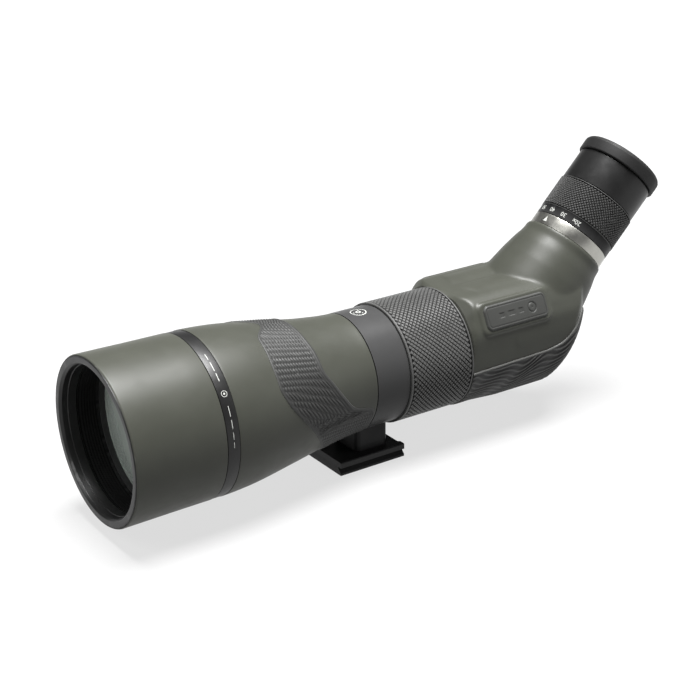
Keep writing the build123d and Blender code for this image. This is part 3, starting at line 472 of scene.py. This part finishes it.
def make_front_lens():
    """Front element with a curved face; its grey veil is a painted reflection, a grey colour in the opaque
    share of the glass.
    """
    rim, back, front = 43.45, 138.0, 146.2
    faces = *dome(front, rim * 0.95, 3.2), *reversed(dome(back, rim * 0.95, 1.6))
    outline = [(back, rim), (front, rim), *faces]
    mesh = lathe("front_lens", MAIN, [(x, max(r, 0.001)) for x, r in outline], edge=0.1)
    replaced = ["objective_front_element"]
    new_piece("front_lens", "optical_tube", MATERIALS["front_glass"], mesh, replaced)


def make_name_band():
    section = [(109.65, 47.22), (117.35, 47.22), (117.35, BAND_R), (109.65, BAND_R)]
    ring = lathe("name_band_ring", MAIN, section, edge=0.3)
    new_piece("name_band_ring", "optical_tube", MATERIALS["satin_black"], ring, ["name_band"])


def hermite(x, xs, values, slopes):
    """Cubic through the knots (xs, values) with the given slopes, taken at x."""
    k = np.clip(np.searchsorted(xs, x, side="right") - 1, 0, len(xs) - 2)
    h = xs[k + 1] - xs[k]
    t = (x - xs[k]) / h
    return (
        (1 + 2 * t) * (1 - t) ** 2 * values[k] + t * (1 - t) ** 2 * h * slopes[k]
        + t * t * (3 - 2 * t) * values[k + 1] + t * t * (t - 1) * h * slopes[k + 1]
    )


def barrel_radius(x):
    """Waisted outside line of the barrel, as in the CAD."""
    xs = np.array((8.3, 28.8, 60.8, 92.8, 109.6))
    rs = np.array((36.5, 38.3, 43.6, 48.3, 49.3))
    slopes = np.gradient(rs, xs)
    slopes[0], slopes[-1] = 0.0, 0.02
    return hermite(np.clip(x, xs[0], xs[-1]), xs, rs, slopes)


def make_barrel():
    stations = np.linspace(8.3, 109.6, 60)
    outside = [(x, float(barrel_radius(x))) for x in stations]
    inside = [
        (109.6, 47.2), (163.4, 47.2), (163.4, 44.62), (112, 44.62), (112, 43.2), (106, 43.2),
        (104, 46), (92, 45.6),
        (60, 40.9), (30, 36), (18, 34.4), (18, 32.02), (8.3, 32.02),
    ]
    mesh = lathe("barrel_skin", MAIN, outside + inside, edge=0.2)
    new_piece("barrel_skin", "optical_tube", MATERIALS["olive_paint"], mesh, ["barrel_shell"])
    paint_inside(mesh, MATERIALS["black_paint"], lambda x, r: x > 109.7 or r < barrel_radius(x) - 0.6)


# edges of the grip panel: station against the angle from the top
PANEL_ANGLES = (0, 21, 33, 51, 61, 73, 86, 101, 118, 133, 180)
PANEL_FRONT = (66.5, 76.6, 77.5, 78.5, 78.4, 74.9, 67.7, 58.5, 50.1, 45.2, 36.0)
PANEL_REAR_ANGLES = (0, 26, 42, 55, 70, 88, 97, 107, 112, 180)
PANEL_REAR = (46.7, 46.1, 44.9, 44.6, 39.2, 30.7, 25.4, 10.1, 8.6, 8.6)


def smooth_curve(angle, knots, values):
    """Cubic through a few knots that never overshoots between them."""
    knots, values = np.array(knots, float), np.array(values, float)
    secants = np.diff(values) / np.diff(knots)
    slopes = np.zeros(len(knots))
    same = secants[:-1] * secants[1:] > 0
    slopes[1:-1][same] = 2 * secants[:-1][same] * secants[1:][same] / (secants[:-1] + secants[1:])[same]
    return hermite(angle, knots, values, slopes)


def make_grip_panel():
    """Moulded skin over the waist with rows of short ridges that follow its slanting edges."""
    around, along = 900, 84
    angles = np.arange(around) * 360.0 / around - 180
    front = smooth_curve(np.abs(angles), PANEL_ANGLES, PANEL_FRONT)
    rear = smooth_curve(np.abs(angles), PANEL_REAR_ANGLES, PANEL_REAR)
    u = np.linspace(0, 1, along)[:, None]
    station = rear + (front - rear) * u
    radius = barrel_radius(station)
    arc = np.radians(np.abs(angles))[None, :] * 40
    # distances from the two slanting edges, square to them
    slope = np.gradient(rear + front, angles * math.radians(1) * 40) / 2
    square = 1 / np.sqrt(1 + slope**2)
    from_rear, from_front = (station - rear) * square, (front - station) * square
    edge = np.minimum(np.minimum(from_rear, from_front), 3.0)
    lift = 0.45 * np.clip(edge / 0.5, 0, 1) ** 0.5
    # rows of short leaf-shaped ridges, each row half a step out from the last
    across_row = from_rear / 1.9
    row = np.floor(across_row)
    along_row = (arc + 0.9 * station) / 3.0 + 0.5 * (row % 2)
    leaf = np.sin(np.pi * (across_row % 1)) * np.sin(np.pi * (along_row % 1)) ** 0.8
    body = np.clip((from_rear - 2.6) / 1.2, 0, 1) * np.clip((from_front - 1.2) / 1.2, 0, 1)
    lift += 0.6 * body * (leaf - 0.5)
    bead = np.exp(-(((from_rear - 1.5) / 0.42) ** 2)) * np.clip((from_rear + from_front) / 6 - 1, 0, 1)
    lift += 0.3 * bead
    top = MAIN.at(station, radius + lift, angles[None, :])
    # the underside sits just in the barrel so that no gap shows
    bottom = MAIN.at(station[::-1], radius[::-1] - 0.25, angles[None, :])
    points = np.concatenate((top, bottom))
    faces = grid_faces(2 * along, around, wrap_rows=True, wrap_columns=True)
    mesh = build_mesh("grip_panel", points, faces, sharp=60)
    new_piece("grip_panel", "optical_tube", MATERIALS["panel_grey"], mesh, ["barrel_grip_panel"])


make_hood()
make_front_lens()
make_name_band()
make_barrel()
make_grip_panel()


# ---- printed marks ----------------------------------------------------------------------
def printed(name, axis, body, outlines, radius, thickness=0.06):
    """Thin print wrapped round an axis. outlines are (grid of (station, arc) points in mm, closed)."""
    points, faces, start = [], [], 0
    for rows, closed in outlines:
        rows = np.array(rows, float)
        n, m = rows.shape[:2]
        angle = np.degrees(rows[..., 1] / radius)
        for level in (thickness, -0.1):
            points.append(axis.at(rows[..., 0], radius + level, angle).reshape(-1, 3))
        faces += [tuple(start + i for i in face) for face in sheet_faces(n, m, closed)]
        start += 2 * n * m
    mesh = build_mesh(name, np.concatenate(points), faces, merge=False)
    new_piece(name, body, MATERIALS["print"], mesh)


def ring_outline(station, arc, inner, outer, sides=40):
    """Flat ring about a point of the surface."""
    turns = np.arange(sides) * 2 * math.pi / sides
    return [[(station + r * math.cos(t), arc + r * math.sin(t)) for r in (inner, outer)] for t in turns], True


def bar_outline(station, arc, length, width):
    """Flat bar with its length along the arc."""
    ys = [arc + (i / 8 - 0.5) * length for i in range(9)]
    return [[(station + k * width / 2, y) for k in (-1, 1)] for y in ys], False


def make_prints():
    arc = 47.0  # of the band's mark, from the top
    band = [ring_outline(BAND_X, arc, 1.55, 1.85), ring_outline(BAND_X, arc, 0.05, 0.6)]
    for offset, length in ((10, 6), (17.5, 5), (24, 4), (29.5, 3.2), (-10, 5), (-17, 6), (-24, 4)):
        band.append(bar_outline(BAND_X, arc + offset, length, 0.4))
    printed("band_marks", MAIN, "optical_tube", band, BAND_R)

    middle, spoke = -3.1, 3.1
    collar = [ring_outline(middle, 0, 4.5, 5.0, 56), ring_outline(middle, 0, 0.9, 1.6, 40)]
    for turn in np.radians((0, 120, 240)):
        collar.append(bar_outline(middle + spoke * math.cos(turn), spoke * math.sin(turn), 1.2, 0.5))
    printed("collar_mark", MAIN, "collar", collar, 36.5)

    foot, width, height = 66.2, 3.2, 3.6  # of the index triangle
    triangle = []
    for i in range(9):
        y = -width / 2 + width * i / 8
        triangle.append([(foot, y), (foot + height * (1 - abs(i / 4 - 1)) + 0.05, y * 0.999)])
    printed("index_mark", EYE, "optical_tube", [(triangle, False)], 26.8, 0.05)


def wrapped_text(name, text, height, station, angle, radius):
    """Raised numerals wrapped round the eyepiece, their tops towards the objective end of it."""
    curve = bpy.data.curves.new(name, "FONT")
    curve.body = text
    curve.size = height * 1.35
    curve.align_x, curve.align_y = "CENTER", "CENTER"
    curve.extrude = 0.08
    curve.resolution_u = 6
    holder = bpy.data.objects.new(name + "_curve", curve)
    bpy.context.scene.collection.objects.link(holder)
    bpy.context.view_layer.update()
    mesh = bpy.data.meshes.new_from_object(holder.evaluated_get(bpy.context.evaluated_depsgraph_get()))
    bpy.data.objects.remove(holder)
    flat = coordinates(mesh)
    turned = EYE.at(station - flat[:, 1], radius + flat[:, 2], angle - np.degrees(flat[:, 0] / radius))
    mesh.vertices.foreach_set("co", turned.reshape(-1))
    mesh.update()
    return mesh


def make_scale():
    """Magnification numbers on the zoom ring."""
    joined = bmesh.new()
    for text, angle in (("20x", 42), ("30", 20.5), ("40", 0), ("50", -20.5), ("60", -42)):
        joined.from_mesh(wrapped_text("scale", text, 3.0, 75.3, angle, 26.7))
    mesh = bpy.data.meshes.new("zoom_numbers")
    bmesh.ops.remove_doubles(joined, verts=joined.verts, dist=1e-7)
    bmesh.ops.recalc_face_normals(joined, faces=joined.faces)
    joined.to_mesh(mesh)
    joined.free()
    new_piece("zoom_numbers", "zoom_ring", MATERIALS["print"], mesh)


make_prints()
make_scale()


# ---- knurled rings ----------------------------------------------------------------------
def make_rings():
    focus = knurled_ring("focus_grip", MAIN, -62.8, -16.0, 37.0, 0.85, 36.02, 72, 1.3, 0.62)
    new_piece("focus_grip", "focus_ring", MATERIALS["knurl_black"], focus, ["focus_ring_grip"])
    zoom = knurled_ring("zoom_grip", EYE, 78.45, 101.0, 26.2, 0.8, 25.22, 72, 0.6, 0.5)
    new_piece("zoom_grip", "zoom_ring", MATERIALS["zoom_knurl"], zoom, ["zoom_ring_grip"])


make_rings()


# ---- eyepiece ---------------------------------------------------------------------------
def make_eyepiece():
    index = lathe(
        "index_band", EYE,
        [(64.0, 17.02), (66.5, 17.02), (66.5, 23), (71.7, 23), (71.7, 26.8), (64.0, 26.8)], edge=0.3,
    )
    new_piece("index_band", "optical_tube", MATERIALS["silver"], index, ["index_ring"])
    sleeve = lathe(
        "eyecup_tube", EYE,
        [
            (101.4, 22.4), (101.4, 26.1), (101.8, 26.4), (122.6, 26.4),
            (123.15, 25.9), (123.15, 24.8), (128, 24.8), (128, 22.4),
        ],
        edge=0.35,
    )
    new_piece("eyecup_tube", "eyecup", MATERIALS["satin_black"], sleeve, ["eyecup_sleeve"])
    rim = lathe(
        "eyecup_lip", EYE,
        [
            (123.55, 24.82), (123.55, 27.5), (124.0, 27.95), (130.6, 28.0), (131.0, 27.75), (131.3, 27.85),
            (132.8, 26.9), (132.8, 23.2), (129.8, 20.5), (128.02, 20.5), (128.02, 24.82),
        ],
        edge=0.7,
    )
    new_piece("eyecup_lip", "eyecup", MATERIALS["rubber"], rim, ["eyecup_rim"])


make_eyepiece()


# ---- prism housing ----------------------------------------------------------------------
HOUSING_FRONT = -63.1
HOUSING_R = 37.3
SHOULDER = ((37.5, 17.0), (29.0, 34.0), (22.0, 37.5))
# the heel: centre and half-lengths of an ellipsoid that leans by BELLY_TILT radians
BELLY = np.array((-121.1, 0.0, AXIS_Z + 17.1))
BELLY_RADII = (48.4, 44.5, 57.8)
BELLY_TILT = 0.10
BAR_END = -104.0  # where the straight part of the housing gives way to the heel
NECK = ((14.0, 35.2), (18.0, 35.0), (28.0, 33.9), (40.0, 32.3), (51.0, 30.2), (58.0, 28.3), (64.0, 28.0))


def section_outline():
    """Points of the housing's cross-section: round below the axis, flat shoulders above."""
    half = [(HOUSING_R * math.sin(a), -HOUSING_R * math.cos(a)) for a in np.radians(np.arange(0, 91, 2.0))]
    corners = [half[-1], *SHOULDER, (0.0, 37.5)]
    for index in range(1, len(corners) - 1):
        before, here, after = (np.array(corners[i]) for i in (index - 1, index, index + 1))
        reach = min(5.5, 0.45 * np.linalg.norm(before - here), 0.45 * np.linalg.norm(after - here))
        half += rounded_corner(before, here, after, reach, 7)
    half.append((0.0, 37.5))
    mirrored = [(-y, z) for y, z in reversed(half[1:-1])]
    return np.array(half + mirrored)


def joined_mesh(name, parts):
    """One mesh from (points, faces) parts."""
    points, faces, start = [], [], 0
    for part_points, part_faces in parts:
        part_points = np.asarray(part_points).reshape(-1, 3)
        points.append(part_points)
        faces += [tuple(i + start for i in face) for face in part_faces]
        start += len(part_points)
    return build_mesh(name, np.concatenate(points), faces)


def capped(rings):
    """Closed (points, faces) part from rings of equal length, with a face at each end."""
    count = len(rings[0])
    faces = grid_faces(len(rings), count, wrap_columns=True)
    faces.append(tuple(reversed(range(count))))
    faces.append(tuple(range((len(rings) - 1) * count, len(rings) * count)))
    return np.concatenate(rings) * MM, faces


def bar_part(outline, start, end):
    """Straight bar with the section's outline, its shoulders bevelled back behind the focus ring."""
    rings = []
    for x in np.linspace(start, end, 60):
        bevel = max(39.0 + (HOUSING_FRONT - x), 36.0)
        r = np.hypot(outline[:, 0], outline[:, 1])
        ring = outline * (np.minimum(r, bevel) / r)[:, None]
        rings.append(np.column_stack((np.full(len(ring), x), ring[:, 0], ring[:, 1] + AXIS_Z)))
    return capped(rings)


def belly_part(outline):
    """Leaning ellipsoid at the elbow, held inside the housing's cross-section."""
    rows, columns = 90, 160
    polar = np.linspace(0.02, math.pi - 0.02, rows)
    turn = np.arange(columns) * 2 * math.pi / columns
    x = BELLY_RADII[0] * np.cos(polar)[:, None] + 0 * turn
    y = BELLY_RADII[1] * np.sin(polar)[:, None] * np.sin(turn)
    z = BELLY_RADII[2] * np.sin(polar)[:, None] * np.cos(turn)
    lean, rise = math.sin(BELLY_TILT), math.cos(BELLY_TILT)
    x, z = x * rise - z * lean, x * lean + z * rise
    points = np.stack((x, y, z), -1) + BELLY
    flat = points.reshape(-1, 3)
    height, side = flat[:, 2] - AXIS_Z, flat[:, 1]
    angle = np.arctan2(side, height)
    limit_angle = np.arctan2(outline[:, 0], outline[:, 1])
    order = np.argsort(limit_angle)
    reach = np.hypot(outline[:, 0], outline[:, 1])
    limit = np.interp(angle, limit_angle[order], reach[order], period=2 * math.pi)
    r = np.hypot(side, height)
    scale = np.minimum(1, limit / np.maximum(r, 1e-6))
    flat[:, 1], flat[:, 2] = side * scale, AXIS_Z + height * scale
    faces = grid_faces(rows, columns, wrap_columns=True)
    faces.append(tuple(range(columns)))
    faces.append(tuple(reversed(range((rows - 1) * columns, rows * columns))))
    return flat * MM, faces


def neck_part():
    """Turned neck that carries the eyepiece."""
    outline = [(14.0, 0.0), *NECK, (64.0, 0.0)]
    segments = 160
    angles = np.arange(segments) * 360.0 / segments
    rows = np.array(outline)
    points = EYE.at(rows[:, :1], np.maximum(rows[:, 1:], 0.01), angles[None, :])
    return points, grid_faces(len(outline), segments, wrap_rows=True, wrap_columns=True)


def remeshed(mesh, voxel, smoothing):
    """Mesh fused into one skin by a voxel remesh, then smoothed."""
    holder = bpy.data.objects.new("remesh", mesh)
    bpy.context.scene.collection.objects.link(holder)
    fuse = holder.modifiers.new("fuse", "REMESH")
    fuse.mode = "VOXEL"
    fuse.voxel_size = voxel * MM
    smooth = holder.modifiers.new("smooth", "SMOOTH")
    smooth.factor, smooth.iterations = 0.5, smoothing
    bpy.context.view_layer.update()
    result = bpy.data.meshes.new_from_object(holder.evaluated_get(bpy.context.evaluated_depsgraph_get()))
    bpy.data.objects.remove(holder)
    return result


def make_skin():
    """Housing, heel and neck fused into one skin."""
    outline = section_outline()
    spare = 6.0  # the front end is cut flat afterwards
    parts = [bar_part(outline, HOUSING_FRONT + spare, BAR_END), belly_part(outline), neck_part()]
    return remeshed(joined_mesh("skin", parts), 0.8, 14)


# left pad: the middle of its facet, its size, and how far the facet leans from upright
PAD_CENTRE = (-98.0, 33.25, AXIS_Z + 25.5)
PAD_LENGTH, PAD_WIDTH = 50.0, 17.0
PAD_TILT = math.atan2(8.5, 17.0)


def pad_frame(side):
    """Origin, across and outward directions of the pad facet on one side."""
    origin = np.array((PAD_CENTRE[0], side * PAD_CENTRE[1], PAD_CENTRE[2]))
    out = np.array((0.0, side * math.cos(PAD_TILT), math.sin(PAD_TILT)))
    across = np.array((0.0, -side * math.sin(PAD_TILT), math.cos(PAD_TILT)))
    return origin, across, out


def rounded_distance(x, y, length, width, corner):
    """Distance inside a rounded rectangle; negative outside."""
    qx, qy = np.abs(x) - (length / 2 - corner), np.abs(y) - (width / 2 - corner)
    outside = np.hypot(np.maximum(qx, 0), np.maximum(qy, 0))
    return corner - outside - np.minimum(np.maximum(qx, qy), 0)


def rounded_outline(length, width, corner):
    """Points round a rounded rectangle, found by halving along each direction."""
    sides = 160
    outline = []
    for t in np.arange(sides) * 2 * math.pi / sides:
        direction = np.array((math.cos(t), math.sin(t)))
        low, high = 0.0, length
        for _ in range(30):
            middle = (low + high) / 2
            inside = rounded_distance(*(direction * middle), length, width, corner) > 0
            low, high = (middle, high) if inside else (low, middle)
        outline.append(direction * low)
    return np.array(outline)


def pad_boss(side):
    """Raised land round a pad, with a bevelled edge."""
    origin, across, out = pad_frame(side)
    base = rounded_outline(PAD_LENGTH + 6, PAD_WIDTH + 4, 5.0)
    inner = base - np.sign(base) * np.minimum(np.abs(base), 0.98)
    rings = []
    for outline, height in (
        (base * 0.02, -4.0), (base * 1.06, -4.0), (base, 0.0),
        (inner, 0.9), (base * 0.5, 0.95), (base * 0.02, 0.95),
    ):
        flat = origin + np.outer(outline[:, 0], (1, 0, 0)) + np.outer(outline[:, 1], across)
        rings.append(flat + out * height)
    return capped(rings)


def cut_flat(shell, point, normal):
    """Removes what stands in front of a plane."""
    geometry = [*shell.verts, *shell.edges, *shell.faces]
    bmesh.ops.bisect_plane(shell, geom=geometry, plane_co=point, plane_no=normal, clear_outer=True)


def make_housing():
    skin = make_skin()
    parts = [(coordinates(skin), [tuple(p.vertices) for p in skin.polygons]), pad_boss(1), pad_boss(-1)]
    mesh = remeshed(joined_mesh("housing_skin", parts), 0.72, 3)
    shell = bmesh.new()
    shell.from_mesh(mesh)
    cut_flat(shell, (HOUSING_FRONT * MM, 0, 0), (1, 0, 0))
    cut_flat(shell, EYE.at(63.7, 0, 0), EYE.along)
    bmesh.ops.holes_fill(shell, edges=[e for e in shell.edges if e.is_boundary], sides=0)
    bmesh.ops.recalc_face_normals(shell, faces=shell.faces)
    shell.to_mesh(mesh)
    shell.free()
    mesh.shade_smooth()
    mesh.set_sharp_from_angle(angle=math.radians(50))
    new_piece("housing_skin", "optical_tube", MATERIALS["olive_paint"], mesh, ["prism_housing"])
    return mesh


def make_pads():
    """Rubber pads with a sunk ring and three sunk bars."""
    rows, columns = 200, 72
    length, width, corner = PAD_LENGTH - 0.4, PAD_WIDTH - 0.4, 4.2
    x = np.linspace(-1, 1, rows)[:, None] * (PAD_LENGTH - 0.5) / 2
    y = np.linspace(-1, 1, columns)[None, :] * (PAD_WIDTH - 0.5) / 2
    # pull the corner points in onto the rounded outline
    cx = np.clip(x, -(length / 2 - corner), length / 2 - corner)
    cy = np.clip(y, -(width / 2 - corner), width / 2 - corner)
    dx, dy = x - cx, y - cy
    far = np.hypot(dx, dy)
    shrink = np.where(far > corner, corner / np.maximum(far, 1e-9), 1.0)
    px, py = cx + dx * shrink, cy + dy * shrink
    inset = np.clip(rounded_distance(px, py, length, width, corner), 0, None)
    crown = 2.0 + 0.35 * np.clip(1 - (px / 25) ** 2, 0, 1) * np.clip(1 - (py / 9) ** 2, 0, 1)
    height = crown * (1 - np.clip(1 - inset / 1.5, 0, 1) ** 2.2)
    height -= 0.2 * np.exp(-(((inset - 2.3) / 0.35) ** 2))
    mark = np.hypot(px + 12, py)
    height -= 0.42 * np.exp(-(((mark - 3.0) / 0.45) ** 2))
    height -= 0.30 * np.clip(1 - mark / 1.0, 0, 1)
    for middle, size in ((-3.0, 5.0), (4.5, 7.0), (12.0, 5.0)):
        bar = np.clip(1.6 - np.abs(px - middle) / (size / 2) * 1.6, 0, 1)
        height -= 0.36 * bar * np.clip(1 - (np.abs(py) - 1.3) / 0.4, 0, 1)
    for side, label in ((1, "left"), (-1, "right")):
        origin, across, out = pad_frame(side)
        flat = origin + np.multiply.outer(px, (1.0, 0, 0)) + np.multiply.outer(py, across)
        top, low = flat + np.multiply.outer(height, out), flat - 0.3 * out
        points = np.concatenate((top.reshape(-1, 3), low.reshape(-1, 3))) * MM
        mesh = build_mesh("pad_" + label, points, sheet_faces(rows, columns), sharp=50)
        replaced = ["side_pad_" + label]
        new_piece("pad_" + label, "optical_tube", MATERIALS["pad_rubber"], mesh, replaced)


# upper edge of the heel boot, as (x, z)
BOOT_EDGE = (
    (-63.2, 51.8), (-92.0, 52.5), (-121.2, 53.4), (-133.7, 55.6),
    (-144.8, 63.5), (-151.5, 70.0), (-155.5, 73.0),
)


def make_boot(skin):
    """Ribbed rubber boot pushed out from the housing skin below its slanting edge."""
    tree = bmesh.new()
    tree.from_mesh(skin)
    finder = BVHTree.FromBMesh(tree)
    tree.free()
    knots = np.array(BOOT_EDGE)
    lengths = np.concatenate(([0], np.cumsum(np.hypot(*np.diff(knots, axis=0).T))))
    rows, columns = 300, 320
    walk = np.linspace(0, lengths[-1], rows)
    edge_x, edge_z = (smooth_curve(walk, lengths, knots[:, k]) for k in (0, 1))
    tangent = np.stack((np.gradient(edge_x), np.gradient(edge_z)), -1)
    heading = np.unwrap(np.arctan2(tangent[:, 1], tangent[:, 0]))
    kernel = np.ones(25) / 25
    heading = np.convolve(np.pad(heading, 12, mode="edge"), kernel, mode="valid")
    heading[:8] = math.pi
    normal = np.stack((-np.sin(heading), np.cos(heading)), -1)
    fan = np.linspace(-90, 90, columns)
    hits = np.zeros((rows, columns, 3))
    outward = np.zeros((rows, columns, 3))
    for i in range(rows):
        for j, angle in enumerate(np.radians(fan)):
            start = Vector((edge_x[i], 0, edge_z[i])) * MM
            level = math.cos(angle)
            direction = Vector((normal[i, 0] * level, math.sin(angle), normal[i, 1] * level))
            # search from outside so that only the outer surface is found
            far = start + direction * 0.15
            place, face_normal, _, _ = finder.ray_cast(far, -direction)
            hits[i, j] = place if place else start
            outward[i, j] = face_normal if face_normal else direction
    for _ in range(6):  # even out the facet normals
        padded = np.pad(outward, ((1, 1), (1, 1), (0, 0)), mode="edge")
        outward = padded[:-2, 1:-1] + padded[2:, 1:-1] + padded[1:-1, :-2] + padded[1:-1, 2:] + 2 * outward
        outward /= np.linalg.norm(outward, axis=-1, keepdims=True)
    place = hits / MM
    arc = np.cumsum(np.linalg.norm(np.diff(place, axis=1, prepend=place[:, :1]), axis=-1), axis=1)
    total = arc[:, -1:]
    from_edge = np.minimum(arc, total - arc)
    ends = np.minimum(walk, walk[-1] - walk)[:, None] * np.ones_like(arc)
    side = np.minimum(from_edge, ends + 0.3)
    # ridges that run along the edge and sway in two waves
    wave = from_edge + 3.2 * np.sin(walk / 9.0 + 0.9)[:, None]
    wave = wave + 1.6 * np.sin((walk / 4.1)[:, None] + from_edge / 6.0)
    ridge = 0.5 + 0.5 * np.sin(2 * math.pi * wave / 3.4)
    ridge = ridge**1.6
    thickness = 0.95 * np.clip(side / 0.5, 0, 1) ** 0.5
    cover = np.clip((side - 1.0) / 0.8, 0, 1)
    thickness += cover * 0.8 * (ridge - 0.6)
    # a little fuller under the heel
    under = np.clip(-outward[..., 2], 0, 1) * np.clip((-75 - place[..., 0]) / 20, 0, 1)
    thickness += cover * 1.5 * under
    top = place + outward * thickness[..., None]
    low = place - outward * 0.5
    points = np.concatenate((top.reshape(-1, 3), low.reshape(-1, 3))) * MM
    mesh = build_mesh("heel_boot", points, sheet_faces(rows, columns), sharp=60)
    new_piece("heel_boot", "optical_tube", MATERIALS["boot_rubber"], mesh, ["housing_armour"])


housing = make_housing()
make_pads()
make_boot(housing)


# ---- floor, lights and camera -----------------------------------------------------------
def make_floor():
    """Pale floor that glows a little, so that it stays white in the picture."""
    steps, reach = 40, 40.0
    xs = np.linspace(-reach, reach, steps)
    points = [(x, y, 0.0) for x in xs for y in xs]
    mesh = build_mesh("studio_floor", points, grid_faces(steps, steps), merge=False)
    floor = bpy.data.objects.new("studio_floor", mesh)
    bpy.context.scene.collection.objects.link(floor)
    material = surface("floor_white", (0.055, 0.055, 0.055), 0.01, (0.7, 0.8), 300, 0.01)
    shader = material.node_tree.nodes["Principled BSDF"]
    shader.inputs["Emission Color"].default_value = (1, 1, 1, 1)
    shader.inputs["Emission Strength"].default_value = 0.70
    mesh.materials.append(material)
    if mesh.polygons[0].normal.z < 0:
        mesh.flip_normals()


def softbox(name, place, target, size, watts):
    light = bpy.data.lights.new(name, "AREA")
    light.shape = "RECTANGLE"
    light.size, light.size_y = size
    light.energy = watts
    lamp = bpy.data.objects.new(name, light)
    bpy.context.scene.collection.objects.link(lamp)
    lamp.location = place
    lamp.rotation_euler = (Vector(target) - Vector(place)).to_track_quat("-Z", "Y").to_euler()


def sun(name, direction, strength, spread_angle):
    """Wide, even light from a direction, given as the way from the object to the light."""
    light = bpy.data.lights.new(name, "SUN")
    light.energy, light.angle = strength, math.radians(spread_angle)
    lamp = bpy.data.objects.new(name, light)
    bpy.context.scene.collection.objects.link(lamp)
    lamp.rotation_euler = Vector(direction).to_track_quat("Z", "Y").to_euler()


def make_lights():
    sun("key", (-0.12, 0.02, 1.0), 17.5, 34)
    softbox("front_box", (0.62, 0.02, 0.48), (0.17, 0, 0.07), (0.32, 0.32), 3.2)
    softbox("rear_box", (-1.0, 0.75, 0.45), (-0.15, 0, 0.12), (0.5, 0.5), 2.0)
    world = bpy.data.worlds.new("studio")
    world.use_nodes = True
    tree = world.node_tree
    split = tree.nodes.new("ShaderNodeSeparateXYZ")
    link(tree, tree.nodes.new("ShaderNodeTexCoord").outputs["Generated"], split.inputs["Vector"])
    # pale at the horizon, so that the floor has no dark edge, and dim above
    shade = ramp(tree, split.outputs["Z"], ((0.04, (0.86, 0.86, 0.86)), (0.19, (0.04, 0.04, 0.04))))
    link(tree, shade, tree.nodes["Background"].inputs["Color"])
    bpy.context.scene.world = world


def make_camera():
    """Camera that looks at target from a distance, both in mm."""
    target, distance = np.array((-7.25, 0, 58)), 975.82
    azimuth, elevation, roll = (math.radians(a) for a in (55.27, 23.35, -0.45))
    level = math.cos(elevation)
    back = np.array((math.cos(azimuth) * level, math.sin(azimuth) * level, math.sin(elevation)))
    right = np.array((-math.sin(azimuth), math.cos(azimuth), 0))
    up = np.cross(back, right)
    lean, rise = math.sin(roll), math.cos(roll)
    right, up = right * rise + up * lean, -right * lean + up * rise
    data = bpy.data.cameras.new("camera")
    data.lens, data.sensor_width = 82.29, 36
    data.shift_x, data.shift_y = -0.0203, 0.0232
    data.clip_start, data.clip_end = 0.05, 50
    camera = bpy.data.objects.new("camera", data)
    bpy.context.scene.collection.objects.link(camera)
    matrix = Matrix.Identity(4)
    position = (target + distance * back) * MM
    for column, vector in enumerate((right, up, back, position)):
        for row in range(3):
            matrix[row][column] = vector[row]
    camera.matrix_world = matrix
    bpy.context.scene.camera = camera


make_floor()
make_lights()
make_camera()
scene = bpy.context.scene
scene.view_settings.view_transform = "Standard"
scene.view_settings.look = "None"
